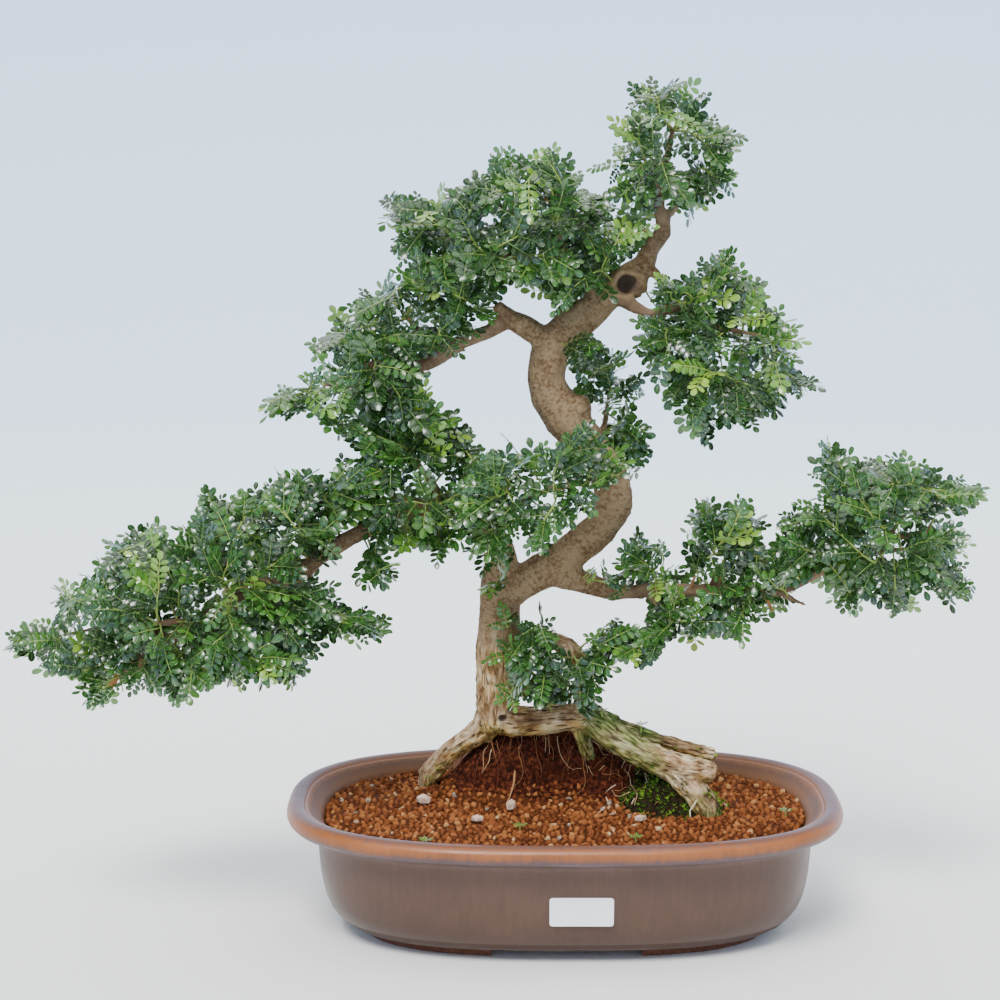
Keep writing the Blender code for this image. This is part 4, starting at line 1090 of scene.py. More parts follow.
def compound_leaf(name, pairs, draw):
    """A leaf along +X with its upper face up. part is 0 above, 1 below and 2 on the rib."""
    points, faces, part, rib = [], [], [], []
    arch = draw.uniform(0.002, 0.009)
    sway = draw.uniform(-0.003, 0.003)

    def spine(x):
        return Vector((x, sway * x * x, -arch * x * x))

    def leaflet(base, along, up, length, width):
        side = up.cross(along).normalized()
        first = len(points)
        outline = [(0, 0), *BLADE, (1, 0), *[(u, -v) for u, v in reversed(BLADE)]]
        for u, v in outline:
            points.append(base + along * u * length + side * v * width - up * 0.08 * u * u * length)
        for u, crown in ((0.34, 0.055), (0.74, 0.02)):
            points.append(base + along * u * length + up * crown * length)
        rib.extend([0.6, 0, 0, 0, 0.4, 0, 0, 0, 1, 1])
        for face in ((0, 7, 8), (7, 6, 9, 8), (6, 5, 4, 9), (0, 8, 1), (8, 9, 2, 1), (9, 4, 3, 2)):
            faces.append([first + k for k in face])
            part.append(0.0)
        faces.append([first + k for k in range(8)])
        part.append(1.0)

    stops = [FIRST_PAIR + PAIR_STEP * i for i in range(pairs)]
    end = stops[-1] + LAST_STEP
    for i, x in enumerate(stops):
        share = (0.8, 1.0, 1.04, 0.98, 0.9)[i] * draw.uniform(0.92, 1.06)
        tangent = (spine(x + 1) - spine(x)).normalized()
        for sign in (1, -1):
            angle = math.radians(SPREAD_ANGLE + draw.uniform(-9, 9)) * sign
            along = Matrix.Rotation(angle, 3, "Z") @ tangent + Vector((0, 0, draw.uniform(-0.08, 0.26)))
            along.normalize()
            tilt = Vector((draw.uniform(-0.25, 0.25), -0.16 * sign, 1))
            up = (tilt - along * tilt.dot(along)).normalized()
            leaflet(spine(x) + along * 0.3, along, up, LEAFLET_LENGTH * share, LEAFLET_WIDTH * share)
    tangent = (spine(end) - spine(end - 1)).normalized()
    up = Vector((0.1, draw.uniform(-0.2, 0.2), 1))
    up = (up - tangent * up.dot(tangent)).normalized()
    leaflet(spine(end), tangent, up, LEAFLET_LENGTH * 1.05, LEAFLET_WIDTH * 1.02)
    first = len(points)
    marks = [0, stops[0] * 0.6, stops[len(stops) // 2], end + 1]
    for x, thick in zip(marks, (0.6, 0.5, 0.42, 0.25)):
        for k in range(3):
            turn = 2 * math.pi * k / 3 + 0.5
            points.append(spine(x) + Vector((0, math.cos(turn), math.sin(turn))) * thick)
            rib.append(1)
    for k in range(len(marks) - 1):
        for i in range(3):
            j = (i + 1) % 3
            low, high = first + 3 * k, first + 3 * (k + 1)
            faces.append([low + i, high + i, high + j, low + j][::-1])
            part.append(2.0)
    faces.append([first, first + 1, first + 2][::-1])
    faces.append([first + 9, first + 10, first + 11])
    part.extend([2.0, 2.0])
    mesh = mesh_of(name, [p * MM for p in points], faces)
    put_attribute(mesh, "part", "FLOAT", part, "FACE")
    put_attribute(mesh, "rib", "FLOAT", rib)
    undersides = [polygon for polygon in mesh.polygons if part[polygon.index] == 1]
    below = {edge for polygon in undersides for edge in polygon.edge_keys}
    sharp = [tuple(sorted(edge.vertices)) in below for edge in mesh.edges]
    put_attribute(mesh, "sharp_edge", "BOOLEAN", sharp, "EDGE")
    return mesh


draw = random.Random(31)
LEAF_MESHES = [compound_leaf(f"leaf_{i}", pairs, draw) for i, pairs in enumerate(LEAF_PAIRS)]
print("leaf shapes:", [triangles(m) for m in LEAF_MESHES], "triangles")

# %% [markdown]
# ### Leaf and twig finish
# The upper face is waxy and shines with the sky; the lower face is paler and matt. Old leaves are
# deep green and the newest ones yellow green, so colour runs with each leaf's tone. Young twigs
# are green and turn brown as they thicken.


# %% Leaf and twig materials
def leaf_material():
    material, tree, shader, place = new_material(
        "waxy_leaf", 0.5, Coat_Weight=0.8, Coat_Roughness=0.16, Coat_IOR=1.6, Specular_IOR_Level=0.3,
    )
    tone, part, rib = (
        add(tree, "ShaderNodeAttribute", attribute_name=name).outputs["Fac"]
        for name in ("tone", "part", "rib")
    )
    patch = add(tree, "ShaderNodeTexNoise", {"Vector": place, "Scale": 90, "Detail": 2}).outputs[0]
    shift = add(tree, "ShaderNodeMath", {0: patch, 1: 0.5, 2: -0.25}, operation="MULTIPLY_ADD")
    mixed = add(tree, "ShaderNodeMath", {0: tone, 1: shift.outputs[0]}, operation="ADD").outputs[0]
    above = add(tree, "ShaderNodeValToRGB", {0: mixed}, stops=(
        (0.0, "0E2408"), (0.3, "193C0D"), (0.55, "2B5716"), (0.8, "568325"), (1.0, "90B036"),
    )).outputs[0]
    below = add(tree, "ShaderNodeValToRGB", {0: mixed}, stops=(
        (0.0, "4A7540"), (0.6, "6B964A"), (1.0, "A9C560"),
    )).outputs[0]
    pale = add(tree, "ShaderNodeMapRange", {0: rib, 1: 0.8, 2: 1.0, 3: 0.0, 4: 0.3}).outputs[0]
    veined = add(tree, "ShaderNodeMix", {0: pale, 6: above, 7: linear("9CC07A")}, data_type="RGBA")
    is_below = add(tree, "ShaderNodeMath", {0: part, 1: 0.5}, operation="GREATER_THAN").outputs[0]
    is_rib = add(tree, "ShaderNodeMath", {0: part, 1: 1.5}, operation="GREATER_THAN").outputs[0]
    blade = add(tree, "ShaderNodeMix", {0: is_below, 6: veined.outputs[2], 7: below}, data_type="RGBA")
    stalk = add(
        tree, "ShaderNodeMix", {0: tone, 6: linear("4B7A35"), 7: linear("A6B84E")}, data_type="RGBA",
    )
    colour = add(
        tree, "ShaderNodeMix", {0: is_rib, 6: blade.outputs[2], 7: stalk.outputs[2]}, data_type="RGBA",
    )
    tree.links.new(colour.outputs[2], shader.inputs["Base Color"])
    rough = add(tree, "ShaderNodeMapRange", {0: is_below, 3: 0.38, 4: 0.65}).outputs[0]
    tree.links.new(rough, shader.inputs["Roughness"])
    return material


def twig_material():
    """Thin bark over green wood, matt, red brown when old."""
    material, tree, shader, place = new_material("young_twig_bark", 0.7)
    tone = add(tree, "ShaderNodeAttribute", attribute_name="tone").outputs["Fac"]
    grain = add(tree, "ShaderNodeTexNoise", {"Vector": place, "Scale": 300, "Detail": 2}).outputs[0]
    shift = add(tree, "ShaderNodeMath", {0: grain, 1: 0.3, 2: -0.15}, operation="MULTIPLY_ADD")
    mixed = add(tree, "ShaderNodeMath", {0: tone, 1: shift.outputs[0]}, operation="ADD").outputs[0]
    ramp = add(tree, "ShaderNodeValToRGB", {0: mixed}, stops=(
        (0.0, "5A3B2A"), (0.45, "7A5A38"), (0.7, "7F9440"), (1.0, "A3B552"),
    ))
    tree.links.new(ramp.outputs[0], shader.inputs["Base Color"])
    return material


LEAF_FINISH = leaf_material()
TWIG_FINISH = twig_material()


# %% The tree of nodes that dresses a twig skeleton
# What each point of a skeleton carries. The tone stays on the finished foliage for its colour.
SKELETON_FIELDS = (
    ("is_leaf", "BOOLEAN"), ("turn", "FLOAT_VECTOR"), ("size", "FLOAT"), ("pick", "INT"),
    ("thick", "FLOAT"),
)


def foliage_tree():
    """Points marked as leaves carry copies of the leaf shapes; the other edges become tapered twigs."""
    tree, given, out = new_tree("foliage", (
        ("Shapes", "Collection", None), ("Leaf finish", "Material", None),
        ("Twig finish", "Material", None), ("Twig sides", "Int", 5),
    ))
    field = {}
    for name, kind in (*SKELETON_FIELDS, ("part", "FLOAT")):
        read = add(tree, "GeometryNodeInputNamedAttribute", {"Name": name}, data_type=kind)
        field[name] = read.outputs["Attribute"]
    parts = add(tree, "GeometryNodeSeparateGeometry", {0: given["Geometry"], 1: field["is_leaf"]})
    shapes = add(tree, "GeometryNodeCollectionInfo", {
        "Collection": given["Shapes"], "Separate Children": True, "Reset Children": True,
    })
    turn = add(tree, "FunctionNodeEulerToRotation", {0: field["turn"]}).outputs[0]
    leaves = add(tree, "GeometryNodeInstanceOnPoints", {
        "Points": parts.outputs[0], "Instance": shapes.outputs[0], "Pick Instance": True,
        "Instance Index": field["pick"], "Rotation": turn, "Scale": field["size"],
    })
    lines = add(tree, "GeometryNodeMeshToCurve", {0: parts.outputs[1]})
    circle = add(tree, "GeometryNodeCurvePrimitiveCircle", {
        "Resolution": given["Twig sides"], "Radius": 1.0,
    })
    tubes = add(tree, "GeometryNodeCurveToMesh", {
        "Curve": lines.outputs[0], "Profile Curve": circle.outputs[0], "Scale": field["thick"],
        "Fill Caps": True,
    })
    marked = add(tree, "GeometryNodeStoreNamedAttribute", {
        "Geometry": tubes.outputs[0], "Name": "part", "Value": 3.0,
    }, data_type="FLOAT", domain="FACE")
    joined = add(tree, "GeometryNodeJoinGeometry")
    tree.links.new(marked.outputs[0], joined.inputs[0])
    tree.links.new(leaves.outputs[0], joined.inputs[0])
    real = add(tree, "GeometryNodeRealizeInstances", {"Geometry": joined.outputs[0]})
    is_twig = add(tree, "FunctionNodeCompare", {0: field["part"], 1: 2.5}, data_type="FLOAT",
                  operation="GREATER_THAN").outputs[0]
    green = add(tree, "GeometryNodeSetMaterial", {
        "Geometry": real.outputs[0], "Material": given["Leaf finish"],
    })
    brown = add(tree, "GeometryNodeSetMaterial", {
        "Geometry": green.outputs[0], "Selection": is_twig, "Material": given["Twig finish"],
    })
    tree.links.new(brown.outputs[0], out["Geometry"])
    return tree


FOLIAGE = foliage_tree()
print("foliage tree:", len(FOLIAGE.nodes), "nodes")

# %% [markdown]
# ### Where the foliage is
# Bonsai foliage is clipped into pads. Each pad is a group of round tufts, measured on the
# photograph as (x, y, radius) in picture pixels, with the depth at which it grows and half its
# thickness in millimetres. Pixels become places through the camera above, at any depth, so the
# outline holds from the front and the pad is as deep as it is wide.

# %% Pads
PADS = {
    "apex": (4, 42, (
        (655, 105, 24), (640, 140, 25), (685, 130, 26), (660, 170, 30), (700, 160, 26), (720, 140, 14),
        (690, 190, 18), (640, 180, 18), (672, 100, 20), (715, 175, 14),
    )),
    "crown": (14, 62, (
        (535, 185, 26), (500, 190, 22), (560, 200, 28), (520, 220, 32), (470, 215, 28), (435, 215, 22),
        (415, 235, 18), (450, 250, 26), (490, 255, 30), (540, 255, 32), (590, 245, 30), (616, 235, 18),
        (596, 272, 22), (568, 286, 18), (560, 225, 30), (400, 208, 10), (512, 168, 14), (552, 168, 12),
        (636, 222, 12), (590, 205, 14), (478, 235, 26),
    )),
    "upper_left": (-6, 50, (
        (420, 290, 24), (450, 300, 26), (480, 310, 18), (385, 310, 26), (350, 335, 24), (400, 335, 30),
        (440, 330, 22), (370, 360, 20), (330, 345, 14), (365, 385, 18), (405, 360, 16), (440, 278, 12),
    )),
    "ledge_left": (-22, 36, (
        (345, 385, 20), (380, 385, 22), (310, 390, 14), (290, 398, 10), (400, 400, 20), (350, 410, 22),
        (395, 425, 20), (420, 415, 14), (330, 405, 14), (272, 401, 8), (375, 435, 12),
    )),
    "middle_left": (-8, 46, (
        (400, 455, 30), (440, 440, 26), (460, 460, 24), (380, 480, 26), (420, 490, 28), (445, 510, 22),
        (385, 515, 22), (410, 530, 14), (370, 455, 14), (465, 490, 20), (420, 420, 20), (440, 540, 10),
        (355, 490, 14), (430, 465, 26),
    )),
    "middle_front": (-50, 28, (
        (505, 480, 24), (530, 470, 26), (560, 475, 24), (590, 465, 20), (520, 505, 26), (550, 510, 26),
        (580, 500, 18), (500, 515, 20), (535, 535, 12), (575, 450, 16), (605, 470, 12), (515, 455, 12),
        (490, 530, 12), (480, 500, 14),
    )),
    "behind_trunk": (48, 30, (
        (590, 375, 20), (610, 400, 18), (620, 425, 20), (635, 445, 14), (600, 445, 18), (575, 350, 12),
        (625, 460, 12), (610, 370, 12), (640, 418, 10), (632, 385, 8),
    )),
    "upper_right": (-10, 52, (
        (680, 300, 26), (710, 290, 24), (740, 300, 24), (665, 340, 26), (700, 335, 30), (740, 335, 28),
        (770, 330, 22), (690, 375, 30), (730, 375, 28), (765, 365, 24), (785, 350, 14), (700, 405, 22),
        (740, 405, 16), (660, 320, 20), (720, 268, 12), (800, 380, 10), (705, 425, 10), (768, 398, 12),
    )),
    "low_left": (-30, 56, (
        (330, 500, 24), (295, 510, 26), (300, 490, 18), (345, 490, 14), (260, 520, 28), (230, 530, 24),
        (265, 555, 28), (300, 545, 26), (215, 510, 14), (200, 550, 24), (160, 560, 22), (150, 545, 16),
        (120, 555, 12), (190, 580, 28), (230, 580, 30), (270, 590, 28), (150, 590, 26), (105, 590, 20),
        (120, 610, 26), (160, 625, 30), (200, 620, 30), (240, 620, 28), (280, 625, 22), (110, 650, 24),
        (150, 660, 24), (190, 660, 26), (230, 655, 24), (265, 665, 18), (75, 600, 14), (60, 645, 22),
        (30, 638, 14), (85, 670, 14), (100, 690, 12), (180, 685, 14), (310, 600, 20), (340, 625, 14),
        (300, 640, 14), (370, 622, 12), (290, 670, 10), (330, 545, 14), (375, 570, 14), (15, 642, 10),
    )),
    "right_end": (-14, 50, (
        (830, 500, 20), (850, 490, 24), (880, 485, 26), (910, 485, 24), (935, 495, 20), (840, 525, 28),
        (875, 520, 32), (910, 525, 28), (940, 540, 20), (830, 555, 24), (865, 560, 28), (900, 560, 24),
        (935, 575, 14), (960, 585, 10), (960, 492, 10), (800, 545, 16), (895, 592, 14), (850, 590, 12),
        (832, 460, 12), (975, 493, 7), (800, 520, 12),
    )),
    "right_low": (0, 44, (
        (720, 540, 22), (745, 530, 16), (705, 520, 14), (700, 560, 24), (740, 560, 24), (770, 565, 20),
        (790, 560, 16), (680, 590, 22), (720, 590, 24), (760, 590, 22), (660, 600, 18), (640, 560, 14),
        (650, 545, 10), (700, 620, 14), (730, 620, 14), (780, 590, 14), (660, 630, 12), (620, 640, 14),
        (600, 635, 12), (640, 645, 10), (612, 585, 12), (595, 580, 10), (740, 515, 10), (655, 572, 14),
    )),
    "arch": (-10, 16, (
        (520, 660, 24), (545, 665, 20), (560, 680, 18), (590, 675, 14), (525, 640, 16), (500, 580, 14),
        (510, 690, 12), (580, 700, 12), (600, 645, 14), (485, 548, 14), (562, 345, 12), (592, 340, 8),
        (545, 700, 10), (540, 625, 14), (575, 660, 14),
    )),
}
# Single leaves that stand clear of a pad, from (x, y) at the leaf's foot to (x, y) at its tip.
LEADERS = {
    "apex": ((641, 102, 627, 84), (655, 98, 652, 78), (678, 108, 690, 90), (690, 110, 714, 94),
        (712, 140, 748, 127), (708, 172, 742, 192), (688, 188, 701, 210), (622, 164, 584, 158),),
    "crown": ((425, 216, 390, 204), (436, 246, 402, 240), (500, 180, 492, 153),
        (525, 178, 520, 153), (548, 180, 546, 156), (470, 200, 452, 186), (600, 205, 612, 190),),
    "upper_left": ((348, 346, 316, 338), (437, 284, 428, 264), (372, 300, 352, 300),),
    "ledge_left": ((294, 402, 261, 403), (322, 382, 300, 372), (345, 418, 334, 440),),
    "middle_left": ((386, 520, 380, 547), (440, 530, 440, 556), (462, 452, 470, 426),
        (380, 472, 352, 455),),
    "middle_front": ((504, 472, 494, 448), (590, 464, 614, 468), (510, 524, 500, 548),
        (536, 462, 546, 440),),
    "behind_trunk": ((630, 440, 655, 447), (602, 366, 624, 361), (628, 386, 642, 392),
        (575, 350, 560, 344),),
    "upper_right": ((704, 282, 708, 256), (735, 288, 742, 262), (775, 342, 804, 346),
        (780, 373, 814, 382), (744, 404, 772, 412), (700, 412, 704, 438), (664, 354, 636, 350),),
    "low_left": ((42, 642, 7, 647), (350, 622, 387, 625), (240, 666, 243, 692),
        (178, 674, 172, 701), (300, 648, 323, 660), (100, 676, 103, 702), (64, 634, 38, 614),
        (124, 566, 112, 542), (206, 526, 203, 500), (268, 500, 268, 478), (344, 478, 346, 452),
        (268, 662, 262, 688), (92, 598, 72, 584), (140, 676, 128, 698), (160, 552, 148, 530),
        (236, 512, 236, 492),),
    "right_end": ((832, 480, 832, 446), (866, 482, 872, 458), (925, 486, 940, 467),
        (948, 498, 986, 493), (940, 576, 978, 598), (893, 588, 900, 614), (860, 574, 858, 599),
        (822, 510, 794, 498), (926, 558, 950, 562),),
    "right_low": ((712, 528, 708, 502), (744, 528, 750, 504), (690, 612, 692, 640),
        (735, 606, 737, 638), (664, 560, 641, 541), (625, 592, 604, 576), (620, 640, 590, 636),
        (652, 634, 676, 640),),
    "arch": ((530, 636, 548, 612), (508, 628, 500, 600), (500, 566, 496, 540),
        (512, 690, 492, 702), (590, 672, 610, 676), (580, 700, 600, 704), (604, 646, 586, 636),
        (512, 655, 482, 662),),
}
# Round places where the photograph shows bare wood that no leaf may hide.
BARE_WOOD = (
    (629, 281, 15), (556, 335, 20), (545, 380, 20), (560, 408, 16), (612, 495, 18), (596, 535, 20),
    (494, 618, 13), (350, 538, 16), (512, 318, 10), (440, 352, 8), (600, 306, 12), (656, 240, 12),
    (600, 588, 12), (494, 690, 18), (505, 722, 15), (530, 726, 14), (556, 730, 13), (585, 734, 12),
)
ALL_TUFTS = [tuft for _, _, tufts in PADS.values() for tuft in tufts]
TUFT_INSET = 12  # pixels: leaves reach out from a clump by about as much
CLUMP_SPACING = 21.0
CLEAR_OF_WOOD = 7  # no clump grows nearer to the wood than this
TRIES_PER_TUFT = 60
PICTURE_EDGE = 6  # pixels kept free at the left of the picture
BACK_OF_WOOD = 20  # leaves deeper than this can't hide the wood
wood_points = [(v.co - POT) / MM for v in bark.vertices]
WOOD = BVHTree.FromPolygons(wood_points, [p.vertices for p in bark.polygons])


def in_outline(point, margin):
    """True if a point shows inside one of the photograph's tufts."""
    px, py = to_view(point)
    if px <= PICTURE_EDGE:
        return False
    return any((px - x) ** 2 + (py - y) ** 2 < (r + margin) ** 2 for x, y, r in ALL_TUFTS)


def hides_wood(point):
    """True if a point shows in front of wood that stays bare."""
    px, py = to_view(point)
    near = any((px - x) ** 2 + (py - y) ** 2 < r * r for x, y, r in BARE_WOOD)
    return near and point.y < BACK_OF_WOOD


print("pads:", len(PADS), "tufts:", len(ALL_TUFTS), "leaders:", sum(len(v) for v in LEADERS.values()))


# %% Growing the twigs
def clumps_of(pad, draw):
    """Places for leafy twig ends, spread through a pad, with the CAD sprays' own places first."""
    middle, half, tufts = PADS[pad]
    found = []
    for node in sorted(NODES):
        if node.startswith("spray_" + pad):
            low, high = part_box(node)
            found.append(((low + high) / 2 - POT) / MM)
    weights = [r * r for _, _, r in tufts]
    cx = sum(t[0] * w for t, w in zip(tufts, weights)) / sum(weights)
    cy = sum(t[1] * w for t, w in zip(tufts, weights)) / sum(weights)
    reach = max(math.hypot(x - cx, y - cy) + r for x, y, r in tufts)
    for _ in range(TRIES_PER_TUFT * len(tufts)):
        x, y, r = draw.choices(tufts, weights)[0]
        turn, out = draw.uniform(0, 2 * math.pi), math.sqrt(draw.random()) * max(r - TUFT_INSET, 3)
        px, py = x + out * math.cos(turn), y + out * math.sin(turn)
        away = min(1.0, math.hypot(px - cx, py - cy) / reach)
        point = from_view(px, py, middle + draw.uniform(-1, 1) * half * math.sqrt(1 - 0.8 * away**2))
        if min(((point - other).length for other in found), default=99) > CLUMP_SPACING:
            if WOOD.find_nearest(point)[3] > CLEAR_OF_WOOD:
                found.append(point)
    return found


def grow_twigs(clumps):
    """Joins each clump to the nearest wood or twig, nearest clumps first. Returns twigs as
    (points, parent twig, load), where load counts the twigs that hang on it."""
    joints, twigs = [], []
    for tip in sorted(clumps, key=lambda p: WOOD.find_nearest(p)[3]):
        seat, normal, _, gap = WOOD.find_nearest(tip)
        start, heading, parent, best = seat - normal * 0.8, normal, None, gap
        for place, direction, owner in joints:
            cost = (tip - place).length * 1.1 + 4
            if cost < best:
                start, heading, parent, best = place, direction, owner, cost
        run = tip - start
        bow = heading * 0.4 + Vector((0, 0, 0.12)) + run.normalized() * 0.25
        knee = start + bow * run.length * 0.7
        path = [start.lerp(knee, t).lerp(knee.lerp(tip, t), t) for t in (0, 0.25, 0.5, 0.75, 1)]
        number = len(twigs)
        twigs.append([path, parent, 1])
        for k in (2, 3, 4):
            joints.append((path[k], (path[k] - path[k - 1]).normalized(), number))
        while parent is not None:
            twigs[parent][2] += 1
            parent = twigs[parent][1]
    return twigs


# %% Putting leaves on the twigs
GOLDEN_TURN = 2.39996  # radians between one leaf and the next round a twig
YOUNG_SHARE = 0.2
OUTER_LEAVES = 2
OUTER_MARGIN, INNER_MARGIN = 13, 4  # pixels by which a leaf may pass its pad's outline
DEPTH_LIMIT = 160


def set_leaf(base, heading, up, size, pairs, rows, tone, draw):
    """Notes one leaf: its foot, its turn, its size, which leaf shape it copies and its tone."""
    side = up.cross(heading).normalized()
    turn = Matrix((heading, side, heading.cross(side))).transposed().to_euler()
    pick = draw.choice([i for i, p in enumerate(LEAF_PAIRS) if p == pairs])
    rows.append((base, tuple(turn), size, pick, tone))


def leaves_on(path, middle, rows, draw):
    """A spiral of leaves along the outer half of a twig. A leaf that would leave the pad's outline
    or cut the wood is turned again, and left out if it still does."""
    count = draw.choice((5, 6, 6, 7))
    phase = draw.uniform(0, 6.28)
    fresh = draw.random() < YOUNG_SHARE
    for k in range(count):
        share = 0.42 + 0.58 * k / (count - 1)
        part = min(3, int(share * 4))
        base = path[part].lerp(path[part + 1], min(1.0, share * 4 - part))
        along = (path[part + 1] - path[part]).normalized()
        cross = along.orthogonal().normalized()
        pairs = draw.choice((3, 3, 4, 4, 5)) if k < count - 1 else draw.choice((3, 4, 2))
        for attempt in range(9):
            angle = phase + GOLDEN_TURN * k + draw.uniform(-0.5, 0.5) * (1 + attempt)
            lean = math.radians(78 - 50 * k / (count - 1) + draw.uniform(-12, 12))
            radial = Matrix.Rotation(angle, 3, along) @ cross
            outward = (base - middle).normalized()
            spread = Vector((outward.x, 0.35 * outward.y, outward.z)).normalized()
            heading = along * math.cos(lean) + radial * math.sin(lean) + spread * 0.6
            heading = (heading + Vector((0, -0.05, 0.1))).normalized()
            size = draw.uniform(0.72, 1.05) * (1 if attempt < 5 else 0.68)
            length = leaf_length(pairs) * size
            tip = base + heading * length
            hit = WOOD.ray_cast(base + heading * 1.5, heading, length)[0]
            margin = OUTER_MARGIN if k >= count - OUTER_LEAVES else INNER_MARGIN
            clear = hit is None and abs(tip.y) < DEPTH_LIMIT and not hides_wood(tip)
            clear = clear and not hides_wood(base + heading * length * 0.5)
            clear = clear and in_outline(tip, margin)
            if clear and in_outline(base + heading * length * 0.6, INNER_MARGIN):
                front = 1 if base.y < middle.y + 12 else -1
                up = Vector((0, -0.6 * front, 0.6)) + outward * 0.35
                up += Vector([draw.uniform(-0.32, 0.32) for _ in range(3)])
                tone = 0.12 + 0.5 * draw.random() + (0.35 if fresh and k > 2 else 0)
                set_leaf(base, heading, up, size, pairs, rows, tone, draw)
                break


def leader_leaves(foot, point, rows, draw):
    """One leaf drawn out to a tip beyond the pad, with two smaller ones at its foot."""
    run = point - foot
    heading = run.normalized()
    pairs = 5 if run.length > 27 else 4 if run.length > 21 else 3
    for turn, share in ((0, 1.0), (55, 0.75), (-60, 0.7)):
        way = Matrix.Rotation(math.radians(turn + draw.uniform(-12, 12)), 3, "Y") @ heading
        way = (way + Vector((0, draw.uniform(-0.3, 0.3) * (turn != 0), 0))).normalized()
        up = Vector((draw.uniform(-0.3, 0.3), -0.75, 0.65))
        size = max(0.6, min(1.1, run.length / leaf_length(pairs))) * share
        set_leaf(foot, way, up, size, pairs, rows, 0.2 + 0.5 * draw.random(), draw)


def skeleton_mesh(name, twigs, rows):
    """Leaf points and twig lines in one mesh with the fields that the node tree reads."""
    points = [world(*row[0]) for row in rows]
    fields = {
        "is_leaf": [True] * len(rows), "thick": [0.0] * len(rows), "turn": [row[1] for row in rows],
        "size": [row[2] for row in rows], "pick": [row[3] for row in rows],
        "tone": [row[4] for row in rows],
    }
    edges = []
    for path, _, load in twigs:
        thickest = min(2.3, 0.5 + 0.3 * math.sqrt(load))
        for k, point in enumerate(path):
            if k:
                edges.append((len(points) - 1, len(points)))
            points.append(world(*point))
            thick = thickest + (0.45 - thickest) * k / (len(path) - 1)
            for label, value in (("is_leaf", False), ("turn", (0, 0, 0)), ("size", 1.0), ("pick", 0),
                                 ("tone", max(0.0, 1.15 - 0.55 * thick)), ("thick", thick * MM)):
                fields[label].append(value)
    mesh = bpy.data.meshes.new(name)
    mesh.from_pydata([tuple(p) for p in points], edges, [])
    for label, kind in (*SKELETON_FIELDS, ("tone", "FLOAT")):
        put_attribute(mesh, label, kind, fields[label])
    return mesh


def build_pad(pad, draw, shapes):
    middle, half, tufts = PADS[pad]
    leaders = []
    for foot_x, foot_y, tip_x, tip_y in LEADERS[pad]:
        y = middle + draw.uniform(-0.3, 0.3) * half
        leaders.append((from_view(foot_x, foot_y, y), from_view(tip_x, tip_y, y + draw.uniform(-8, 8))))
    clumps = clumps_of(pad, draw)
    twigs = grow_twigs(clumps + [foot for foot, _ in leaders])
    centre = from_view(*[sum(t[k] for t in tufts) / len(tufts) for k in (0, 1)], middle)
    rows = []
    feet = {tuple(foot) for foot, _ in leaders}
    for path, _, _ in twigs:
        if tuple(path[-1]) not in feet:
            leaves_on(path, centre, rows, draw)
    for foot, point in leaders:
        leader_leaves(foot, point, rows, draw)
    foliage = run_tree("foliage_" + pad, skeleton_mesh(pad, twigs, rows), FOLIAGE, {
        "Shapes": shapes, "Leaf finish": LEAF_FINISH, "Twig finish": TWIG_FINISH, "Twig sides": 5,
    })
    for label, _ in SKELETON_FIELDS:
        if label in foliage.data.attributes:
            foliage.data.attributes.remove(foliage.data.attributes[label])
    print(pad, len(twigs), "twigs,", len(rows), "leaves")
    show(foliage, "leaf_green", *[n for n in sorted(NODES) if n.startswith("spray_" + pad)])
    return len(rows)


draw = random.Random(77)
leaf_shapes = shapes_collection("leaf", LEAF_MESHES)
total = sum(build_pad(pad, draw, leaf_shapes) for pad in PADS)
drop_collection(leaf_shapes)
print("leaves in all:", total)

# %% [markdown]
# ## Root ball, rootlets and moss
# Under the arch of roots the old root ball stands clear of the granules: a dark red brown mat of
# dead fibres and packed clay that reaches up to the wood, with pale living rootlets on it. Moss
# grows where the wood stays damp, round the foot of the right root. The mat is a fine sheet draped
# over the CAD soil, raised to the wood under the arch and roughened; its edge dips into the
# granules, so that no rim shows.


# %% Root ball
def surface_height(x, y):
    return soil_top(world(x, y, 0)) / MM


def draped_patch(name, middle, half, rings, sides, sink, rough):
    """A closed sheet over the soil inside an ellipse. rough gives its height above the soil."""
    points, faces = [], []
    for k in range(1, rings + 1):
        share = k / rings
        for i in range(sides):
            turn = 2 * math.pi * (i + 0.5 * (k % 2)) / sides
            edge = Vector((math.cos(turn) * 2.2, math.sin(turn) * 2.2, middle[0]))
            ragged = 1 + 0.16 * noise.noise(edge)
            x = middle[0] + half[0] * share * ragged * math.cos(turn)
            y = middle[1] + half[1] * share * ragged * math.sin(turn)
            point = world(x, y, 0)
            lift = rough(x, y) * (1 - share**4) - sink * share**4
            point.z = soil_top(point) + lift * MM
            points.append(point)
    for point in points[-sides:]:
        points.append(point - Vector((0, 0, 4 * MM)))
    faces.append(tuple(range(sides)))
    for k in range(rings):
        for i in range(sides):
            j = (i + 1) % sides
            low, high = k * sides, (k + 1) * sides
            faces.append((low + j, low + i, high + i, high + j))
    faces.append(tuple(range(rings * sides, (rings + 1) * sides))[::-1])
    return mesh_of(name, points, faces)


# Dead fibre fills the arch right up to the wood: humps of (middle, spread) and top in millimetres.
FIBRE_HUMPS = (((-20, 40), (52, 20), 145.0), ((46, 34), (30, 22), 122.0), ((84, -6), (22, 15), 111.0))


def packed(x, y):
    """How far the fibre packed under the wood rises over the CAD soil."""
    top = max(LEVEL + (peak - LEVEL) * bell(x, y, *hump) for *hump, peak in FIBRE_HUMPS)
    return max(0.0, top - surface_height(x, y))


def mat_relief(x, y):
    at = Vector((x, y, 0))
    rough = 1.5 * noise.noise(at / 7) + 1.6 * abs(noise.noise(at / 2.6)) + 0.7 * noise.noise(at / 1.3)
    return 1.6 + rough + packed(x, y)


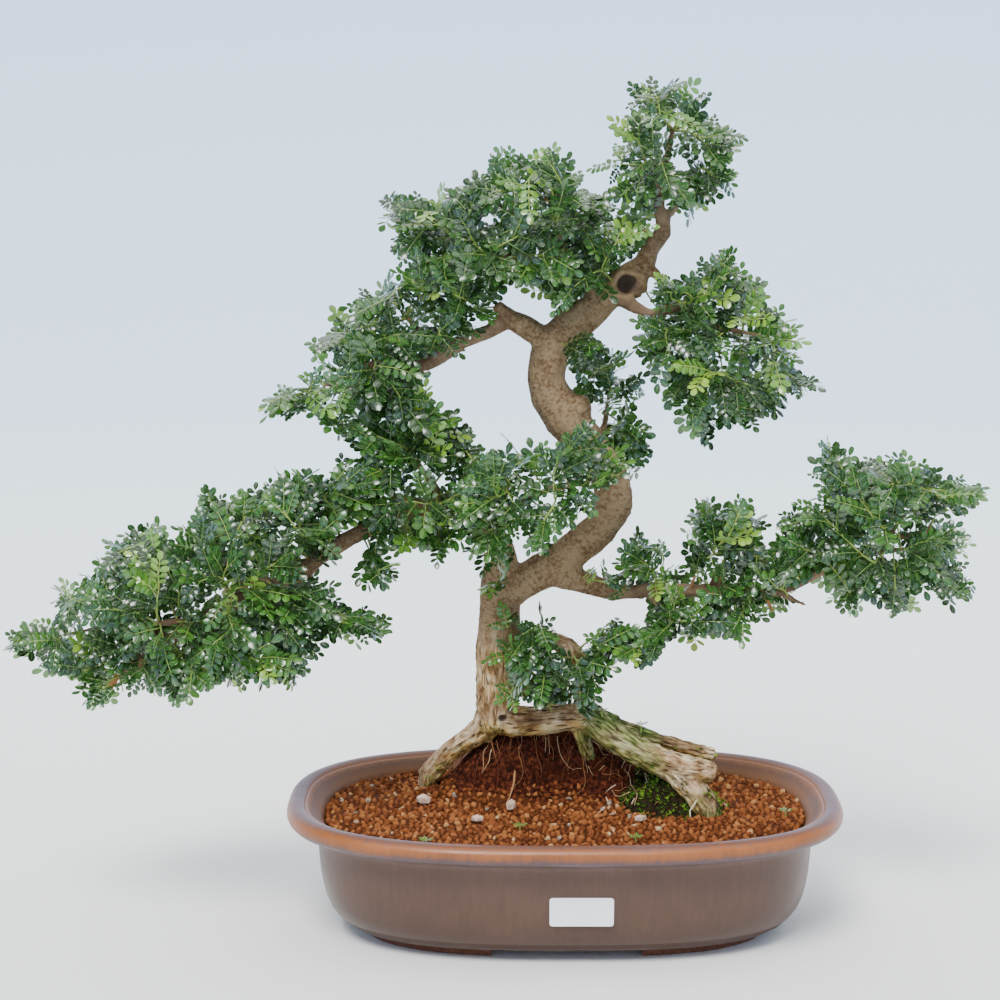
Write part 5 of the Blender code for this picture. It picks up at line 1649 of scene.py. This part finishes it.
# Dead fibre and packed clay: dark red brown, matt and rough.
ROOT_MAT = speckled("root_mat", 0.97, 330, ((0.32, "1C0C06"), (0.5, "3C190D"), (0.72, "6A3822")), 0.0016,
                     Specular_IOR_Level=0.1)
patch = draped_patch("root_ball_mat", (0, 40), (96, 44), 52, 170, 2.5, mat_relief)
show(object_of("root_ball_mat", patch, ROOT_MAT), "baked_clay_soil")

# %% [markdown]
# ### Rootlets
# A rootlet wanders: each step turns a little and hugs the ground below it. Every one starts at the
# wood or high on the mat and runs down. A node tree gives the lines their thickness.


# %% Rootlet lines and their tree
def strand_tree():
    tree, given, out = new_tree("strands", (("Finish", "Material", None), ("Sides", "Int", 4)))
    thick = add(tree, "GeometryNodeInputNamedAttribute", {"Name": "thick"}, data_type="FLOAT")
    lines = add(tree, "GeometryNodeMeshToCurve", {0: given["Geometry"]})
    circle = add(tree, "GeometryNodeCurvePrimitiveCircle", {
        "Resolution": given["Sides"], "Radius": 1.0,
    })
    tubes = add(tree, "GeometryNodeCurveToMesh", {
        "Curve": lines.outputs[0], "Profile Curve": circle.outputs[0],
        "Scale": thick.outputs["Attribute"], "Fill Caps": True,
    })
    real = add(tree, "GeometryNodeRealizeInstances", {"Geometry": tubes.outputs[0]})
    finished = add(tree, "GeometryNodeSetMaterial", {
        "Geometry": real.outputs[0], "Material": given["Finish"],
    })
    tree.links.new(finished.outputs[0], out["Geometry"])
    return tree


def strands(name, lines, finish, sides=4):
    """Tubes along lines of (points in millimetres, thickness at the start, at the end, tone)."""
    points, edges, thick, tone = [], [], [], []
    for path, first, last, colour in lines:
        for k, point in enumerate(path):
            if k:
                edges.append((len(points) - 1, len(points)))
            points.append(world(*point))
            thick.append((first + (last - first) * k / (len(path) - 1)) * MM)
            tone.append(colour)
    mesh = bpy.data.meshes.new(name)
    mesh.from_pydata([tuple(p) for p in points], edges, [])
    put_attribute(mesh, "thick", "FLOAT", thick)
    put_attribute(mesh, "tone", "FLOAT", tone)
    return run_tree(name, mesh, STRANDS, {"Finish": finish, "Sides": sides})


def wandering(x, y, heading, length, rise, draw, step=2.2):
    """A line that creeps over the soil from a place, turning as it goes."""
    path = []
    for _ in range(max(3, round(length / step))):
        ground = surface_height(x, y) + mat_relief(x, y)
        path.append(Vector((x, y, ground + rise + draw.uniform(0, 1.0))))
        heading += draw.uniform(-0.55, 0.55)
        x += step * math.cos(heading)
        y += step * math.sin(heading) * 0.8
    return path


def hanging(start, end, draw):
    """A loose line between two places with a little slack."""
    count = 9
    bow = Vector([draw.uniform(-7, 7) for _ in range(3)])
    path = []
    for k in range(count):
        t = k / (count - 1)
        jitter = Vector([draw.uniform(-0.5, 0.5) for _ in range(3)])
        path.append(start.lerp(end, t) + bow * math.sin(math.pi * t) + jitter * (0 < k < count - 1))
    return path


STRANDS = strand_tree()
# Living and dead rootlets: straw to red brown, matt.
ROOTLET = toned_material("rootlet_skin", 0.8, (
    (0.0, "2A0F08"), (0.3, "5B2A18"), (0.6, "9A6A42"), (0.85, "D2B78E"), (1.0, "EBDCC0"),
), 500, 0.3, 0.0002)
draw = random.Random(91)
lines = []
for _ in range(180):
    x, y = -16 + draw.gauss(0, 26), 36 + draw.gauss(0, 13)
    if surface_height(x, y) > LEVEL + 5:
        tone = draw.choice((0.05, 0.15, 0.2, 0.3, 0.35, 0.55, 0.75))
        lines.append((wandering(x, y, draw.uniform(3.4, 6.0), draw.uniform(10, 34), 0.3, draw),
                      draw.uniform(0.25, 0.55), 0.15, tone))
for _ in range(80):
    x, y = 58 + draw.gauss(0, 18), 12 + draw.gauss(0, 14)
    lines.append((wandering(x, y, draw.uniform(3.4, 6.0), draw.uniform(7, 20), 0.3, draw),
                  draw.uniform(0.2, 0.42), 0.12, draw.choice((0.2, 0.6, 0.8, 0.95))))
for _ in range(20):
    x = draw.uniform(-62, 100)
    y = 24 - 0.28 * max(0, x - 20) + draw.uniform(-4, 6)
    top = WOOD.ray_cast(Vector((x, y, LEVEL + 8)), Vector((0, 0, 1)))[0]
    if top is not None and top.z < 170:
        foot_x, foot_y = x + draw.uniform(-10, 10), y + draw.uniform(-10, 6)
        foot = Vector((foot_x, foot_y, surface_height(foot_x, foot_y) + 0.5))
        lines.append((hanging(top + Vector((0, 0, 1)), foot, draw), draw.uniform(0.2, 0.42), 0.13,
                      draw.choice((0.2, 0.35, 0.6, 0.85))))
show(strands("rootlets", lines, ROOTLET), "bark")

# One bent brown root and a few pale ones rise from the mat, and one hangs from the root's foot.
BENT_ROOTS = (
    ((-32, 30, 116), (-35, 22, 118), (-38, 16, 113), (-39, 10, 104), (-42, 4, 96), (-45, 0, 90)),
    ((22, 24, 101), (27, 16, 98), (29, 10, 93), (31, 4, 90)),
    ((14, 22, 104), (9, 14, 99), (4, 8, 93), (3, 4, 89)),
    ((19, 21, 106), (17, 15, 100), (22, 8, 95), (27, 2, 89)),
    ((21, 20, 110), (28, 13, 102), (33, 6, 95), (35, 0, 89)),
)
thick_lines = [([Vector(p) for p in path], max(0.55, 1.5 - 0.35 * k), 0.45, 0.62 if k < 3 else 0.85)
               for k, path in enumerate(BENT_ROOTS)]
seat = WOOD.find_nearest(Vector((95, -37, 102)))[0]
thick_lines.append(([seat, Vector((95, -38.5, 96)), Vector((96, -39, 86))], 0.6, 0.4, 0.95))
show(strands("bent_roots", thick_lines, ROOTLET, 8), "bark")

# %% [markdown]
# ### Moss
# A cushion of moss is made of short shoots that stand close together. One shoot is a small star
# of pointed leaves; the scatter tree sets thousands of them upright on the damp soil and on the
# shaded skin of the root foot.

# %% Moss shoots
MOSS_ON_WOOD = (
    ((112, -33, 111), 8), ((121, -27, 106), 9), ((123, -30, 96), 8), ((121, -34, 91), 7),
    ((114, -14, 98), 12), ((104, 6, 127), 7), ((118, -16, 116), 7), ((92, -30, 112), 4),
    ((84, 10, 131), 6), ((116, 6, 120), 8), ((-94, 42, 108), 7), ((-103, 44, 98), 7),
    ((30, 18, 100), 6),
)


def moss_shoot(name, draw, leaves):
    points, faces = [], []
    for k in range(leaves):
        turn = 2 * math.pi * (k + draw.uniform(-0.2, 0.2)) / leaves
        out = Vector((math.cos(turn), math.sin(turn), 0))
        side = Vector((-out.y, out.x, 0)) * 0.22
        rise = draw.uniform(0.5, 1.3)
        first = len(points)
        tip, keel = out * 0.95 + Vector((0, 0, rise)), Vector((0, 0, 0.35)) + out * 0.2
        points += [-side * 0.8, side * 0.8, tip, keel]
        faces += [(first, first + 1, first + 3), (first + 1, first + 2, first + 3),
                  (first + 2, first, first + 3), (first + 1, first, first + 2)]
    mesh = mesh_of(name, points, faces, smooth=False)
    return mesh


def moss_ground():
    """The soil round the root foot, with the growth density as a field."""
    def rise(x, y):
        at = Vector((x, y, 3))
        return 2.6 + 1.8 * noise.noise(at / 6) + 2.2 * abs(noise.noise(at / 2.4)) + packed(x, y)

    mesh = draped_patch("moss_ground", *MOSS_SOIL, 26, 90, 0.5, rise)
    density = []
    for vertex in mesh.vertices:
        x, y, _ = (vertex.co - POT) / MM
        patchy = noise.noise(Vector((x, y, 9)) / 9) + 0.35
        near_foot = math.exp(-(((x - 92) / 26) ** 2 + ((y + 4) / 26) ** 2))
        density.append(max(0.0, min(1.0, patchy * 0.9 + near_foot * 0.9)))
    put_attribute(mesh, "loose", "FLOAT", density)
    return mesh


def mossy_wood():
    """The faces of the bark that carry moss."""
    bm = bmesh.new()
    bm.from_mesh(bark)
    far = []
    for face in bm.faces:
        centre = (face.calc_center_median() - POT) / MM
        wanted = any((centre - Vector(at)).length < r for at, r in MOSS_ON_WOOD)
        if not wanted or noise.noise(centre / 4) < -0.12:
            far.append(face)
    bmesh.ops.delete(bm, geom=far, context="FACES")
    mesh = bpy.data.meshes.new("mossy_wood")
    bm.to_mesh(mesh)
    bm.free()
    for label in BARK_FACTS:
        mesh.attributes.remove(mesh.attributes[label])
    put_attribute(mesh, "loose", "FLOAT", [1.0] * len(mesh.vertices))
    return mesh


# Moss: deep green with yellow green tips, matt, some of it dried brown.
MOSS = toned_material("moss_green", 0.95, (
    (0.0, "1A280A"), (0.4, "335214"), (0.7, "548A20"), (0.9, "8CB836"), (1.0, "6E5A2E"),
), 300, 0.2, 0.0002)
# Wet peat and clay under the moss: nearly black, in crumbs of 4 mm.
DAMP_EARTH = speckled(
    "damp_earth", 0.95, 260, ((0.3, "120C07"), (0.55, "251C0F"), (0.75, "34301A")), 0.0015,
    Specular_IOR_Level=0.1,
)
ground = moss_ground()
show(object_of("moss_bed", ground.copy(), DAMP_EARTH), "baked_clay_soil")
draw = random.Random(12)
moss_shapes = shapes_collection("shoot", [moss_shoot(f"shoot_{i}", draw, 5) for i in range(5)])
for name, carrier, spacing, seed in (
    ("moss_on_soil", ground, 1.15, 4), ("moss_on_wood", mossy_wood(), 1.1, 6),
):
    moss = run_tree(name, carrier, SCATTER, {
        "Shapes": moss_shapes, "Finish": MOSS, "Spacing": spacing * MM, "Smallest": 1.1 * MM,
        "Largest": 2.9 * MM, "Lift": 0.0, "Upright": 1.0, "Seed": seed,
    })
    show(moss, "leaf_green")
drop_collection(moss_shapes)

# %% [markdown]
# ### Seedlings and stubs
# Tiny plants have come up in the soil and on the roots, and cut or broken twig ends stay on the
# limbs as short brown stubs. A seedling is seated where its line of sight meets the soil or the
# wood, and a stub at the nearest point of the wood, so that neither can hang in the air.

# %% Seedlings and stubs
# Seedlings: picture place, and 1 where it grows on wood. Stubs: foot, tip, thickness.
SEEDLINGS = ((636, 845, 0), (426, 847, 0), (641, 731, 1), (602, 716, 1), (520, 832, 0), (786, 818, 0))
STUBS = (
    ((-37, 8, 545), (-46, 6, 556), 2.6), ((-24, -12, 548), (-30, -16, 562), 2.2),
    ((8, 4, 552), (2, 0, 562), 2.0), ((74, 2, 498), (79, -1, 499), 2.6),
    ((112, -20, 470), (122, -24, 466), 1.8), ((150, -10, 262), (158, -16, 246), 1.8),
    ((96, -4, 262), (99, -10, 272), 1.6), ((-341, -43, 199), (-346, -48, 190), 3.4),
    ((46, 2, 262), (45, -4, 266), 1.8), ((-86, -6, 447), (-94, -10, 452), 2.0),
    ((-118, -6, 326), (-124, -10, 332), 2.0), ((64, 9, 532), (58, 6, 536), 2.0),
)


def seedlings(draw):
    rows, twigs = [], []
    for px, py, on_wood in SEEDLINGS:
        way = (from_view(px, py, 200) - EYE).normalized()
        seat = WOOD.ray_cast(EYE, way)[0] if on_wood else None
        if seat is None:
            hit = soil_tree.ray_cast(world(*EYE), way)[0]
            if hit is None:
                continue
            seat = (hit - POT) / MM
        top = seat + Vector((draw.uniform(-1, 1), -1, draw.uniform(4, 6)))
        twigs.append(([seat - Vector((0, 0, 1.5)), seat.lerp(top, 0.5), top], None, 1))
        for k in range(4):
            turn = 1.6 * k + draw.uniform(-0.3, 0.3)
            way_out = Vector((math.cos(turn), math.sin(turn), 0.5)).normalized()
            set_leaf(top, way_out, Vector((0, -0.3, 1)), 0.24, 2, rows, 0.75, draw)
    return twigs, rows


draw = random.Random(8)
leaf_shapes = shapes_collection("leaf", LEAF_MESHES)
twigs, rows = seedlings(draw)
seedling_mesh = skeleton_mesh("seedlings", twigs, rows)
plants = run_tree("seedlings", seedling_mesh, FOLIAGE, {
    "Shapes": leaf_shapes, "Leaf finish": LEAF_FINISH, "Twig finish": TWIG_FINISH, "Twig sides": 5,
})
drop_collection(leaf_shapes)
show(plants, "leaf_green")
stub_lines = []
for foot, tip, thick in STUBS:
    seat, normal, _, _ = WOOD.find_nearest(Vector(foot))
    end = seat + Vector(tip) - Vector(foot)
    stub = [seat - normal * 1.5, seat.lerp(end, 0.5), end]
    stub_lines.append((stub, thick * 0.8, thick * 0.6, 0.6))
show(strands("broken_stubs", stub_lines, ROOTLET, 8), "bark")

# %% [markdown]
# ## Size
# The boxes of the CAD and of the dressed model are written side by side.

# %% Write the sizes and finish
VISUAL_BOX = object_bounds()
for label, (low, high) in (("cad", CAD_BOX), ("visual", VISUAL_BOX)):
    print(label, "box in mm:", [round(v * 1000, 1) for v in (*low, *high)])
